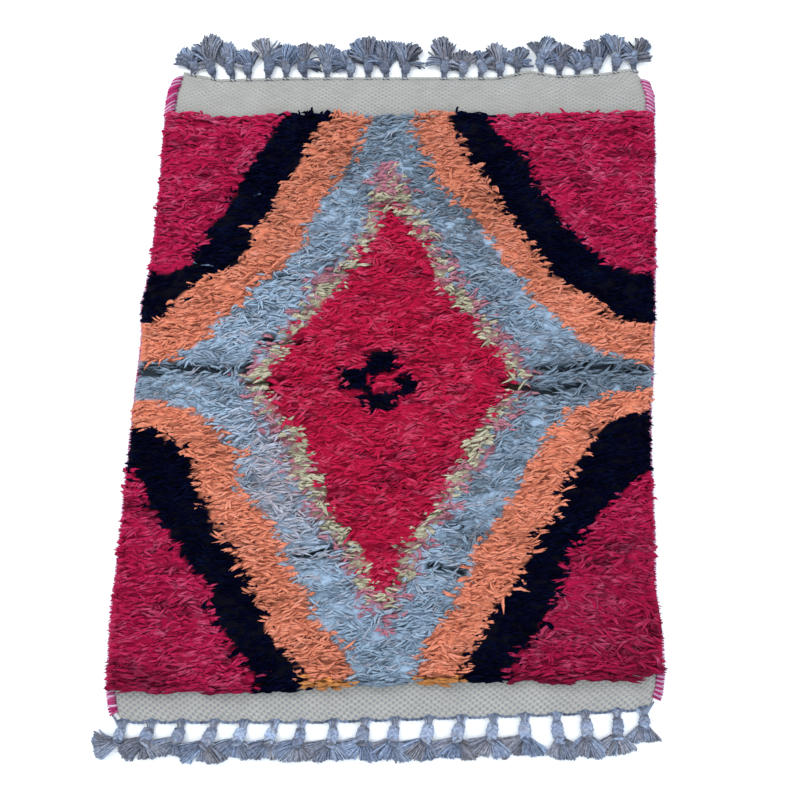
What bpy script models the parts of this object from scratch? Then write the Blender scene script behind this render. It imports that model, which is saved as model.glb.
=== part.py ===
import math
import random

import bmesh
import bpy
import numpy as np

# All sizes are metres unless a name or a table says centimetres.
# The origin is the middle of the rug on its underside, +Y runs along its length, +Z is up.
CM = 0.01
SEED = 12

GROUND_THICKNESS = 0.003
CLEAR = 0.0005
SELVEDGE_WIDTH = 0.0085
SELVEDGE_HEIGHT = 0.0055
SELVEDGE_HEIGHT_UNDER_PILE = 0.0029
SELVEDGE_STATIONS = 34

PILE_UNDERSIDE = 0.0036
PILE_WIDEST_HEIGHT = 0.0075
PILE_RIM_HEIGHT = 0.0105
PILE_HEIGHT = 0.0155
PILE_RIDGE = 0.0024
PILE_LUMP = 0.0022
PILE_SHIFT_X = 0.0060
PILE_SHIFT_Y = 0.0024
PILE_ROWS = 62
PILE_COLUMNS = 26
PILE_RIM_INSET = 0.004
RIM_LOCK_LENGTH = 0.0085

STRIP_DEPTH = 0.005
STRIP_HEIGHT = 0.003
BRAID_WIDTH = 0.0100
BRAID_HEIGHT = 0.0055
BRAID_STATIONS = 5
BRAID_SWAY = 0.0011
KNOT_WIDTH = 0.0145
KNOT_HEIGHT = 0.0085
KNOT_LENGTH = 0.0090
STRAND_WIDTH = 0.0042
STRAND_HEIGHT = 0.0042
STRAND_SHARE = 0.76
STRANDS = 4

# The two long edges: y, x of the outer edge, in centimetres.
LEFT_EDGE = (
    (-43.0, -34.0), (-41.5, -35.0), (-38.5, -35.6), (-30.0, -35.6), (-20.0, -35.0),
    (-15.0, -34.9), (-10.0, -34.6), (0.0, -34.1), (5.0, -33.8), (9.5, -34.1),
    (15.0, -33.2), (20.0, -32.9), (25.0, -32.6), (35.0, -32.4), (40.0, -32.0),
    (42.0, -31.5), (43.8, -30.7),
)
RIGHT_EDGE = (
    (-41.0, 31.0), (-39.0, 31.8), (-37.0, 32.1), (-33.0, 32.2), (-28.0, 31.6),
    (-20.0, 31.9), (-10.0, 32.0), (-5.0, 32.2), (0.0, 32.8), (5.0, 33.2),
    (10.0, 33.6), (15.0, 33.9), (20.0, 34.2), (25.0, 34.4), (30.0, 34.7),
    (35.0, 34.9), (40.0, 35.0), (42.5, 34.4), (43.8, 33.6),
)

# The two short ends of the woven ground: x, y in centimetres.
NEAR_END = (
    (-34.0, -42.7), (-10.0, -42.7), (0.0, -42.4), (10.0, -42.1), (20.0, -41.8),
    (29.0, -41.3), (31.0, -40.7),
)
FAR_END = (
    (-30.5, 43.6), (-25.0, 42.4), (-15.0, 42.7), (0.0, 42.7), (13.0, 42.7),
    (16.0, 43.3), (18.0, 43.8), (22.0, 43.0), (28.0, 43.3), (32.0, 44.0), (33.5, 43.6),
)

# Where the pile stops and the flat-woven bands start: x, y in centimetres.
PILE_NEAR_END = (
    (-35.0, -38.9), (-25.0, -39.5), (-12.0, -39.0), (0.0, -38.3), (25.0, -38.0),
    (28.0, -37.6), (32.0, -36.7),
)
PILE_FAR_END = (
    (-32.0, 37.0), (-27.0, 36.9), (-22.0, 36.4), (-12.0, 37.3), (-6.0, 36.4),
    (8.0, 37.3), (15.0, 36.7), (30.0, 37.1), (35.0, 37.3),
)

# The plaits. Each row, in centimetres: x of the root on the strip, x and y of the knot,
# x and y of the middle of the tuft's tips, and the width that the tips fan out to.
NEAR_PLAITS = (
    (-33.2, -33.4, -44.3, -36.0, -45.4, 1.6),
    (-29.8, -30.4, -44.8, -32.0, -46.7, 2.2),
    (-26.2, -26.9, -44.8, -28.3, -46.4, 2.0),
    (-22.2, -23.4, -45.2, -24.4, -47.2, 2.2),
    (-18.7, -19.4, -44.9, -20.9, -46.2, 1.9),
    (-15.0, -15.7, -45.0, -17.3, -46.5, 1.9),
    (-11.8, -12.3, -45.1, -13.7, -46.9, 1.8),
    (-8.0, -8.3, -45.1, -9.1, -46.9, 2.0),
    (-4.1, -4.5, -44.9, -5.2, -46.8, 2.2),
    (-0.5, -0.9, -44.9, -1.6, -46.8, 2.0),
    (3.5, 3.0, -44.8, 2.2, -46.3, 1.9),
    (7.4, 6.8, -44.8, 6.0, -46.4, 2.2),
    (11.3, 10.9, -44.6, 10.6, -46.2, 2.2),
    (15.0, 15.0, -44.5, 14.1, -46.0, 2.0),
    (18.8, 19.1, -44.7, 19.2, -46.4, 1.8),
    (22.2, 22.4, -44.3, 22.7, -46.0, 1.9),
    (26.1, 26.0, -44.2, 25.7, -45.8, 2.0),
    (29.2, 29.2, -43.1, 29.0, -44.9, 1.8),
)
FAR_PLAITS = (
    (-28.7, -28.9, 45.1, -30.3, 46.6, 1.4),
    (-25.8, -26.5, 45.6, -27.6, 48.6, 2.0),
    (-23.2, -23.6, 45.2, -24.0, 47.9, 1.6),
    (-21.0, -21.0, 44.9, -21.3, 46.7, 1.2),
    (-18.3, -18.6, 46.1, -18.4, 48.9, 1.9),
    (-15.8, -16.0, 45.0, -15.9, 47.5, 1.4),
    (-13.2, -13.5, 45.2, -13.7, 47.7, 1.5),
    (-10.1, -10.2, 45.0, -10.0, 47.8, 1.7),
    (-6.9, -7.1, 44.9, -7.7, 46.8, 1.4),
    (-4.4, -4.5, 45.8, -4.8, 48.9, 1.8),
    (-1.9, -2.0, 45.1, -2.3, 48.4, 1.5),
    (0.6, 0.5, 45.0, 0.3, 48.2, 1.6),
    (6.1, 6.3, 45.5, 6.4, 48.5, 1.7),
    (8.6, 8.7, 44.8, 9.0, 46.7, 1.3),
    (11.2, 11.3, 44.9, 11.6, 46.9, 1.5),
    (13.9, 13.8, 45.0, 13.9, 47.6, 1.5),
    (16.3, 16.3, 45.4, 16.6, 47.4, 1.3),
    (19.6, 19.7, 45.9, 19.7, 48.9, 1.5),
    (22.1, 22.2, 45.3, 22.3, 47.9, 1.4),
    (24.6, 24.9, 44.9, 25.2, 46.7, 1.2),
    (27.2, 27.5, 45.5, 28.0, 48.5, 1.6),
    (29.9, 30.1, 46.2, 30.4, 49.1, 1.4),
    (32.5, 32.6, 46.2, 33.3, 48.9, 1.9),
)

# The pattern is nested lozenges. Each row: name, and how far from the middle it ends, in
# centimetres along Y. Past the last row the corners are crimson again.
LOZENGE_SLOPE = 0.80
LOZENGES = (
    ("pile_crimson", 3.0),
    ("pile_black", 5.2),
    ("pile_crimson", 22.0),
    ("pile_sage", 25.0),
    ("pile_blue", 42.0),
    ("pile_orange", 48.0),
    ("pile_black", 55.5),
)

# Red, green and blue in linear light, then roughness.
COLOURS = {
    "ground_wool": (0.50, 0.47, 0.40, 0.90),
    "selvedge_yarn": (0.36, 0.03, 0.13, 0.85),
    "fringe_yarn": (0.19, 0.16, 0.15, 0.90),
    "pile_crimson": (0.45, 0.02, 0.07, 0.90),
    "pile_black": (0.01, 0.01, 0.02, 0.90),
    "pile_orange": (0.75, 0.24, 0.12, 0.90),
    "pile_blue": (0.22, 0.29, 0.39, 0.90),
    "pile_sage": (0.40, 0.35, 0.24, 0.90),
}


def clear_scene():
    for obj in list(bpy.data.objects):
        bpy.data.objects.remove(obj, do_unlink=True)


def material(name):
    red, green, blue, roughness = COLOURS[name]
    made = bpy.data.materials.new(name)
    made.use_nodes = True
    shader = made.node_tree.nodes["Principled BSDF"]
    shader.inputs["Base Color"].default_value = (red, green, blue, 1.0)
    shader.inputs["Roughness"].default_value = roughness
    made.diffuse_color = (red, green, blue, 1.0)
    return made


def read_along(table, at):
    """The second column of a table in centimetres, read at a first-column value in metres."""
    first = [row[0] for row in table]
    second = [row[1] for row in table]
    return float(np.interp(at / CM, first, second)) * CM


def finish_mesh(bm, name, materials):
    """Triangulates the mesh, turns its faces outward and links it as one object."""
    bmesh.ops.triangulate(bm, faces=bm.faces[:])
    bmesh.ops.recalc_face_normals(bm, faces=bm.faces[:])
    mesh = bpy.data.meshes.new(name)
    bm.to_mesh(mesh)
    bm.free()
    for one in materials:
        mesh.materials.append(one)
    obj = bpy.data.objects.new(name, mesh)
    bpy.context.scene.collection.objects.link(obj)
    return obj


def inner_edge(table, y, inward):
    """The woven ground's long edge: inside the overcast cord and clear of it."""
    return read_along(table, y) + inward * (SELVEDGE_WIDTH + CLEAR)


def ground_point(across, along):
    """A point of the woven ground; both shares run from 0 to 1, left to right and near to far."""
    y = -0.425 + 0.855 * along
    left = inner_edge(LEFT_EDGE, y, 1)
    right = inner_edge(RIGHT_EDGE, y, -1)
    x = left + (right - left) * across
    near = read_along(NEAR_END, x)
    far = read_along(FAR_END, x)
    return x, near + (far - near) * along


def bends_between(table, first, last):
    """The x where an end's line bends, between two x in metres."""
    return [row[0] * CM for row in table if first < row[0] * CM < last]


def side_shares():
    """Where the long edges have corners, closer together where they curve in to the ends."""
    even = np.linspace(0.0, 1.0, SELVEDGE_STATIONS)
    return np.unique(np.concatenate((even, (0.010, 0.020, 0.955, 0.985))))


def build_ground():
    sides = side_shares()
    right = [ground_point(1.0, share) for share in sides]
    left = [ground_point(0.0, share) for share in sides]
    near = bends_between(NEAR_END, left[0][0], right[0][0])
    far = bends_between(FAR_END, left[-1][0], right[-1][0])
    outline = [(x, read_along(NEAR_END, x)) for x in near]
    outline += right
    outline += [(x, read_along(FAR_END, x)) for x in far[::-1]]
    outline += left[::-1]
    bm = bmesh.new()
    lower = [bm.verts.new((x, y, 0.0)) for x, y in outline]
    upper = [bm.verts.new((x, y, GROUND_THICKNESS)) for x, y in outline]
    bm.faces.new(lower[::-1])
    bm.faces.new(upper)
    for i in range(len(outline)):
        j = (i + 1) % len(outline)
        bm.faces.new((lower[i], lower[j], upper[j], upper[i]))
    return finish_mesh(bm, "woven_ground", [material("ground_wool")])


def cord_height(y):
    """The overcast cord stands up at the bare corners and lies flat under the pile."""
    return float(
        np.interp(
            y,
            (-0.425, -0.410, -0.404, 0.392, 0.402, 0.430),
            (
                0.0035,
                SELVEDGE_HEIGHT,
                SELVEDGE_HEIGHT_UNDER_PILE,
                SELVEDGE_HEIGHT_UNDER_PILE,
                SELVEDGE_HEIGHT,
                0.0035,
            ),
        )
    )


def join_rings(bm, rings):
    """Walls between neighbouring rings of the same number of points, closed at both ends."""
    for one, other in zip(rings, rings[1:]):
        for i in range(len(one)):
            j = (i + 1) % len(one)
            bm.faces.new((one[i], one[j], other[j], other[i]))
    bm.faces.new(rings[0][::-1])
    bm.faces.new(rings[-1])


def build_selvedge(name, across, outward):
    """The overcast cord beside one long edge; its section is a low five-sided arch."""
    path = [ground_point(across, share) for share in side_shares()[1:-1]]
    bm = bmesh.new()
    rings = []
    for i, (x, y) in enumerate(path):
        width = SELVEDGE_WIDTH * (0.6 if i in (0, len(path) - 1) else 1.0)
        height = cord_height(y)
        start = x + outward * CLEAR
        profile = (
            (0.0, 0.0),
            (width, 0.0),
            (width, 0.55 * height),
            (0.55 * width, height),
            (0.0, 0.75 * height),
        )
        rings.append([bm.verts.new((start + outward * a, y, z)) for a, z in profile])
    join_rings(bm, rings)
    return finish_mesh(bm, name, [material("selvedge_yarn")])


def pile_point(across, along, inset):
    """A point of the pile's plan; the inset draws its border in from the rug's edges."""
    nominal = -0.385 + 0.755 * along
    left = read_along(LEFT_EDGE, nominal) + inset
    right = read_along(RIGHT_EDGE, nominal) - inset
    x = left + (right - left) * across
    near = read_along(PILE_NEAR_END, x) + inset
    far = read_along(PILE_FAR_END, x) - inset
    return x, near + (far - near) * along


def pile_relief(column, row, x, y, lumps):
    """Height of the top: staggered ridges of locks, soft lumps, and the two side partings."""
    wave = 0.8 * math.sin(x / 0.055 + 1.3) + 0.5 * math.sin(x / 0.021 + y / 0.09)
    ridge = PILE_RIDGE * (1.0 if row % 2 else -1.0) * math.cos(0.5 * wave)
    parting = 0.004 * math.exp(-(((y - 0.008) / 0.007) ** 2)) * min(1.0, abs(x) / 0.2)
    return PILE_HEIGHT + ridge + PILE_LUMP * lumps[row][column] - parting


def lozenge_of(x, y):
    reach = (abs(y + 0.004) + abs(x + 0.012) / LOZENGE_SLOPE) / CM
    for name, end in LOZENGES:
        if reach < end:
            return name
    return "pile_crimson"


def build_pile():
    rng = random.Random(SEED)
    lumps, shifts_x, shifts_y = (
        [[rng.uniform(-1.0, 1.0) for _ in range(PILE_COLUMNS + 1)] for _ in range(PILE_ROWS + 1)]
        for _ in range(3)
    )
    bm = bmesh.new()
    top = []
    for row in range(PILE_ROWS + 1):
        along = row / PILE_ROWS
        line = []
        for column in range(PILE_COLUMNS + 1):
            across = column / PILE_COLUMNS
            x, y = pile_point(across, along, 0.005)
            if row in (0, PILE_ROWS) or column in (0, PILE_COLUMNS):
                z = PILE_RIM_HEIGHT + 0.5 * PILE_LUMP * lumps[row][column]
            else:
                z = pile_relief(column, row, x, y, lumps)
                x += PILE_SHIFT_X * shifts_x[row][column]
                y += PILE_SHIFT_Y * shifts_y[row][column]
            line.append(bm.verts.new((x, y, z)))
        top.append(line)
    names = sorted({name for name, _ in LOZENGES})
    for row in range(PILE_ROWS):
        for column in range(PILE_COLUMNS):
            corners = (
                top[row][column],
                top[row][column + 1],
                top[row + 1][column + 1],
                top[row + 1][column],
            )
            face = bm.faces.new(corners)
            centre = face.calc_center_median()
            face.material_index = names.index(lozenge_of(centre.x, centre.y))
    border = [(column, 0) for column in range(PILE_COLUMNS)]
    border += [(PILE_COLUMNS, row) for row in range(PILE_ROWS)]
    border += [(column, PILE_ROWS) for column in range(PILE_COLUMNS, 0, -1)]
    border += [(0, row) for row in range(PILE_ROWS, 0, -1)]
    rim = [top[row][column] for column, row in border]
    widest, lowest = [], []
    for column, row in border:
        across, along = column / PILE_COLUMNS, row / PILE_ROWS
        x, y = pile_point(across, along, 0.0022)
        widest.append(bm.verts.new((x, y, PILE_WIDEST_HEIGHT)))
        x, y = pile_point(across, along, 0.0022 + PILE_RIM_INSET)
        lowest.append(bm.verts.new((x, y, PILE_UNDERSIDE)))
    locks = []
    for i in range(len(border)):
        j = (i + 1) % len(border)
        face = bm.faces.new((widest[i], widest[j], rim[j], rim[i]))
        centre = face.calc_center_median()
        face.material_index = names.index(lozenge_of(centre.x, centre.y))
        if i % 2 == 0 and not near_corner(border[i]):
            locks.append(face)
        lower = bm.faces.new((lowest[i], lowest[j], widest[j], widest[i]))
        lower.material_index = face.material_index
    bm.faces.new(lowest[::-1])
    bm.normal_update()
    grow_rim_locks(bm, locks, rng)
    return finish_mesh(bm, "pile", [material(name) for name in names])


def near_corner(place):
    column, row = place
    side = min(column, PILE_COLUMNS - column)
    end = min(row, PILE_ROWS - row)
    return side < 2 and end < 2


def grow_rim_locks(bm, faces, rng):
    """Pulls each chosen rim face out into one tapered lock whose tip droops."""
    for face in bmesh.ops.extrude_discrete_faces(bm, faces=faces)["faces"]:
        centre = face.calc_center_median()
        on_side = abs(centre.x) > 0.305 and abs(centre.y) < 0.365
        if on_side:
            out = (math.copysign(1.0, centre.x), rng.uniform(-0.3, 0.3))
        else:
            out = (rng.uniform(-0.4, 0.4), math.copysign(1.0, centre.y))
        length = RIM_LOCK_LENGTH * rng.uniform(0.55, 1.0)
        for vert in face.verts:
            spread = vert.co - centre
            vert.co = centre + 0.32 * spread
            vert.co.x += length * out[0]
            vert.co.y += length * out[1]
            vert.co.z -= 0.0022


def corners_of(bm, x, y, ahead, width, height, top_share):
    """Four corners of a cross-section on the floor: low left, low right, high right, high left."""
    side_x, side_y = ahead[1], -ahead[0]
    made = []
    for sign, z, share in ((-1, 0.0, 1.0), (1, 0.0, 1.0), (1, height, top_share), (-1, height, top_share)):
        reach = 0.5 * sign * share * width
        made.append(bm.verts.new((x + reach * side_x, y + reach * side_y, z)))
    return made


def wall(bm, one, other):
    for i in range(4):
        j = (i + 1) % 4
        bm.faces.new((one[i], one[j], other[j], other[i]))


def unit(dx, dy):
    length = math.hypot(dx, dy)
    return dx / length, dy / length


def grow_plait(bm, root, start, knot, ahead):
    """Walks from the strip to the knot, swaying from side to side as three crossed strands do."""
    last = root
    for i in range(1, BRAID_STATIONS + 1):
        share = i / (BRAID_STATIONS + 1)
        sway = BRAID_SWAY * (1 if i % 2 else -1)
        x = start[0] + share * (knot[0] - start[0]) + sway * ahead[1]
        y = start[1] + share * (knot[1] - start[1]) - sway * ahead[0]
        width = BRAID_WIDTH * (1.0 if i % 2 else 0.86)
        height = BRAID_HEIGHT * (0.9 if i % 2 else 1.05)
        ring = corners_of(bm, x, y, ahead, width, height, 0.62)
        wall(bm, last, ring)
        last = ring
    return last


def grow_knot(bm, last, knot, ahead):
    """A round knot; its far side is divided into one root face per strand, which are returned."""
    middle = corners_of(bm, knot[0], knot[1], ahead, KNOT_WIDTH, KNOT_HEIGHT, 0.58)
    wall(bm, last, middle)
    x = knot[0] + 0.6 * KNOT_LENGTH * ahead[0]
    y = knot[1] + 0.6 * KNOT_LENGTH * ahead[1]
    low, high = [], []
    for i in range(STRANDS + 1):
        reach = (i / STRANDS - 0.5) * 0.86 * KNOT_WIDTH
        px, py = x + reach * ahead[1], y - reach * ahead[0]
        low.append(bm.verts.new((px, py, 0.0)))
        high.append(bm.verts.new((px, py, 0.62 * KNOT_HEIGHT)))
    bm.faces.new([middle[0], middle[1]] + low[::-1])
    bm.faces.new([middle[3], middle[2]] + high[::-1])
    bm.faces.new((middle[1], low[-1], high[-1], middle[2]))
    bm.faces.new((middle[0], low[0], high[0], middle[3]))
    return [(low[i], low[i + 1], high[i + 1], high[i]) for i in range(STRANDS)]


def grow_strands(bm, roots, tip, ahead, fan, rng):
    """Fans the cut ends of the yarn out from the knot; each lies level on the floor."""
    side = (ahead[1], -ahead[0])
    root_pitch = math.dist(roots[0][0].co, roots[1][0].co)
    tip_pitch = fan / (STRANDS - 1)
    mid_width = min(STRAND_WIDTH, STRAND_SHARE * 0.5 * (root_pitch + tip_pitch))
    end_width = min(0.6 * STRAND_WIDTH, 0.6 * tip_pitch)
    for i, root in enumerate(roots):
        place = i / (STRANDS - 1) - 0.5
        reach = rng.uniform(-0.0016, 0.0016)
        end_x = tip[0] + place * fan * side[0] + reach * ahead[0]
        end_y = tip[1] + place * fan * side[1] + reach * ahead[1]
        start_x = 0.5 * (root[0].co.x + root[1].co.x)
        start_y = 0.5 * (root[0].co.y + root[1].co.y)
        mid_x = start_x + 0.5 * (end_x - start_x)
        mid_y = start_y + 0.5 * (end_y - start_y)
        middle = corners_of(bm, mid_x, mid_y, ahead, mid_width, STRAND_HEIGHT, 0.7)
        wall(bm, root, middle)
        end = corners_of(bm, end_x, end_y, ahead, end_width, 0.5 * STRAND_HEIGHT, 0.7)
        wall(bm, middle, end)
        bm.faces.new(end)


def max_reach(table, x, near_by, outward):
    """How far out an end's line comes at x, or within a short way of a bend beside it."""
    reach = outward * read_along(table, x)
    for bend in bends_between(table, x - near_by, x + near_by):
        reach = max(reach, outward * read_along(table, bend) - 0.1 * abs(bend - x))
    return outward * reach


def strip_line(plaits, end_table, outward):
    """Every corner along the twined strip: x, back y, front y, and whether a plait starts there."""
    half = 0.5 * BRAID_WIDTH
    first = plaits[0][0] * CM - 0.009
    last = plaits[-1][0] * CM + 0.009
    roots = [row[0] * CM for row in plaits]
    plain = [first, last]
    for x in bends_between(end_table, first, last):
        if min(abs(x - root) for root in roots) > half + 0.0005:
            plain.append(x)
    corners = [(x, False) for x in plain]
    corners += [(x - half, True) for x in roots] + [(x + half, False) for x in roots]
    line = []
    for x, opens_plait in sorted(corners):
        back = max_reach(end_table, x, half, outward) + outward * CLEAR
        line.append((x, back, back + outward * STRIP_DEPTH, opens_plait))
    return line


def build_fringe(name, plaits, end_table, outward):
    """A twined strip along one end, with a knotted plait and its tuft growing at every root."""
    rng = random.Random(SEED + len(plaits))
    line = strip_line(plaits, end_table, outward)
    bm = bmesh.new()
    levels = (0.0, STRIP_HEIGHT)
    back = [[bm.verts.new((x, b, z)) for x, b, _, _ in line] for z in levels]
    front = [[bm.verts.new((x, f, z)) for x, _, f, _ in line] for z in levels]
    for i in range(len(line) - 1):
        for level in (0, 1):
            bm.faces.new((back[level][i], back[level][i + 1], front[level][i + 1], front[level][i]))
        bm.faces.new((back[0][i], back[0][i + 1], back[1][i + 1], back[1][i]))
        if not line[i][3]:
            bm.faces.new((front[0][i], front[0][i + 1], front[1][i + 1], front[1][i]))
    for i in (0, len(line) - 1):
        bm.faces.new((back[0][i], front[0][i], front[1][i], back[1][i]))
    opens = [i for i, corner in enumerate(line) if corner[3]]
    for i, row in zip(opens, plaits):
        a, b = (i, i + 1) if outward > 0 else (i + 1, i)
        root = (front[0][a], front[0][b], front[1][b], front[1][a])
        start = (row[0] * CM, 0.5 * (root[0].co.y + root[1].co.y))
        knot = (row[1] * CM, row[2] * CM)
        tip = (row[3] * CM, row[4] * CM)
        along_plait = unit(knot[0] - start[0], knot[1] - start[1])
        last = grow_plait(bm, root, start, knot, along_plait)
        along_tuft = unit(tip[0] - knot[0], tip[1] - knot[1])
        ahead = unit(along_plait[0] + along_tuft[0], along_plait[1] + along_tuft[1])
        strands = grow_knot(bm, last, knot, ahead)
        grow_strands(bm, strands, tip, along_tuft, row[5] * CM, rng)
    return finish_mesh(bm, name, [material("fringe_yarn")])


clear_scene()
build_ground()
build_selvedge("selvedge_left", 0.0, -1)
build_selvedge("selvedge_right", 1.0, 1)
build_pile()
build_fringe("fringe_near", NEAR_PLAITS, NEAR_END, -1)
build_fringe("fringe_far", FAR_PLAITS, FAR_END, 1)
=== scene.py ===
import math

import bpy
import numpy as np
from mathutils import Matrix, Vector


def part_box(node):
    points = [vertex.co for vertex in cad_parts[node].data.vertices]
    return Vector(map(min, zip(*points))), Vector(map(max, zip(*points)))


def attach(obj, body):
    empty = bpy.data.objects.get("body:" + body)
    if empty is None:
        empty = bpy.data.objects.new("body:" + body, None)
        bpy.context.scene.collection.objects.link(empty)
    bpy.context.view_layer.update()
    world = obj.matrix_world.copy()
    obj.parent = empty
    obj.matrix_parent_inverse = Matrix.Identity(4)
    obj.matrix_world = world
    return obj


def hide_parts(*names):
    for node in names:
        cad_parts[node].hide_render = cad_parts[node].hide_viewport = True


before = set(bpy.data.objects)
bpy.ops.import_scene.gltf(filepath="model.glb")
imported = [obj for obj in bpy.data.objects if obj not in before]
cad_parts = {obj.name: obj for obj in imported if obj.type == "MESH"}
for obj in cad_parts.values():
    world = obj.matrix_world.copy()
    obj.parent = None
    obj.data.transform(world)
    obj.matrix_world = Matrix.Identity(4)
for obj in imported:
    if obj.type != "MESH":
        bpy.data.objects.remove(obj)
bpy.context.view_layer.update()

# Every table below is in centimetres, read across (x) and along (y) the rug.
cm = 0.01

# y, x of the rug's outer edge
leftEdge = (
    (-43, -34), (-41.5, -35), (-38.5, -35.6), (-30, -35.6), (-20, -35),
    (-15, -34.9), (-10, -34.6), (0, -34.1), (5, -33.8), (9.5, -34.1),
    (15, -33.2), (20, -32.9), (25, -32.6), (35, -32.4), (40, -32),
    (42, -31.5), (43.8, -30.7),
)
rightEdge = (
    (-41, 31), (-39, 31.8), (-37, 32.1), (-33, 32.2), (-28, 31.6),
    (-20, 31.9), (-10, 32), (-5, 32.2), (0, 32.8), (5, 33.2),
    (10, 33.6), (15, 33.9), (20, 34.2), (25, 34.4), (30, 34.7),
    (35, 34.9), (40, 35), (42.5, 34.4), (43.8, 33.6),
)
# x, y of the two woven ends, and of where the pile stops before them
nearEnd = (
    (-34, -42.7), (-10, -42.7), (0, -42.4), (10, -42.1), (20, -41.8),
    (29, -41.3), (31, -40.7),
)
farEnd = (
    (-30.5, 43.6), (-25, 42.4), (-15, 42.7), (0, 42.7), (13, 42.7),
    (16, 43.3), (18, 43.8), (22, 43), (28, 43.3), (32, 44), (33.5, 43.6),
)
pileNearEnd = (
    (-35, -38.9), (-25, -39.5), (-12, -39), (0, -38.3), (25, -38),
    (28, -37.6), (32, -36.7),
)
pileFarEnd = (
    (-32, 37), (-27, 36.9), (-22, 36.4), (-12, 37.3), (-6, 36.4),
    (8, 37.3), (15, 36.7), (30, 37.1), (35, 37.3),
)

# y, x where one colour of knots gives way to the next; 40 is past the rug's edge
leftCrimsonBlack = (
    (-40, -16.2), (-38.8, -16.9), (-37, -18.3), (-35, -19.4), (-32.5, -21.5), (-30, -23.2),
    (-27.5, -23.3), (-25, -25.1), (-22.5, -27.8), (-20, -29.2), (-17, -31.3), (-15, -32.4),
    (-12.5, -33.8), (-11, -40), (13.3, -40), (14, -30.5), (15, -27.8), (17.5, -26.9),
    (20, -25.4), (22.5, -23.5), (25, -22.2), (27.5, -21.3), (30, -19.8), (32.5, -18.2),
    (35, -17.1), (37, -15.4),
)
leftBlackOrange = (
    (-40, -10), (-38.8, -10.4), (-37, -11.5), (-35, -13.2), (-32.5, -15.6), (-30, -16.5),
    (-27.5, -18), (-25, -19.2), (-22.5, -20.4), (-20, -22.2), (-17, -24.2), (-15, -25),
    (-12.5, -25.9), (-10, -26.8), (-8.5, -29.4), (-7, -30.4), (-5.3, -40), (6.3, -40),
    (7.5, -31.5), (10, -29.4), (12.5, -26.5), (15, -21.6), (17.5, -19.8), (20, -19.4),
    (22.5, -17.1), (25, -16.5), (27.5, -14.4), (30, -13.1), (32.5, -11.9), (35, -10.6),
    (37, -8.9),
)
leftOrangeBlue = (
    (-40, -4.6), (-38.8, -5), (-37, -5.9), (-35, -6.6), (-32.5, -8), (-30, -10.9),
    (-27.5, -11.2), (-25, -13.3), (-22.5, -14.8), (-20, -15.1), (-17, -17.4), (-15, -20),
    (-12.5, -20.4), (-10, -20.1), (-8.5, -22.5), (-7, -22.8), (-5, -25.9), (-4, -27.7),
    (-2.5, -40), (1.3, -40), (2, -29.5), (3.5, -27.4), (5, -25), (7.5, -23.8),
    (10, -20.1), (12.5, -18.6), (15, -15), (17.5, -13), (20, -12.5), (22.5, -11.2),
    (25, -9.8), (27.5, -7.7), (30, -6.6), (32.5, -5.7), (35, -4.2), (37, -3.2),
)
rightBlueOrange = (
    (-40, 1), (-38.3, 1.3), (-37, 1.9), (-35, 2.7), (-32.5, 3.5), (-30, 6),
    (-27.5, 7.2), (-25, 8.5), (-22.5, 9.1), (-20, 11), (-17, 13.2), (-15, 15),
    (-12.5, 15.1), (-10, 17.4), (-7.5, 18.9), (-5, 21.5), (-4, 23.8), (-2.5, 27.4),
    (-0.8, 40), (1.2, 40), (1.5, 32.2), (3, 26.2), (5, 23.2), (7.5, 21), (10, 17.8),
    (12.5, 16.2), (15, 14.1), (17.5, 13), (20, 10.9), (22.5, 9.1), (25, 6.3),
    (27.5, 5), (30, 4.2), (32.5, 2.5), (35, 1.6), (37, 1.8),
)
rightOrangeBlack = (
    (-40, 6.7), (-38.3, 6.9), (-37, 7.4), (-35, 8.6), (-32.5, 9.8), (-30, 11),
    (-27.5, 13.2), (-25, 15), (-22.5, 16.3), (-20, 17.4), (-17, 20), (-15, 19.4),
    (-12.5, 21.3), (-10, 23.5), (-7.5, 24.8), (-5, 28.9), (-4.3, 40), (5.3, 40),
    (7.5, 28.3), (10, 26), (12.5, 21.6), (15, 18.9), (17.5, 17.1), (20, 15.9),
    (22.5, 14.1), (25, 12.7), (27.5, 11.3), (30, 9.1), (32.5, 8.6), (35, 7.1), (37, 6.9),
)
rightBlackCrimson = (
    (-40, 12.5), (-38.3, 12.8), (-37, 13.2), (-35, 14.2), (-32.5, 16.5), (-30, 18),
    (-27.5, 20.1), (-25, 20.4), (-22.5, 21.5), (-20, 23), (-17, 25.9), (-15, 28.2),
    (-12.5, 31), (-12.2, 40), (12.5, 40), (13.2, 33.8), (15, 27.8), (17.5, 25.1),
    (20, 22.3), (22.5, 21.2), (25, 19.5), (27.5, 18.2), (30, 17.4), (32.5, 15),
    (35, 12.8), (37, 12.4),
)
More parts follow.
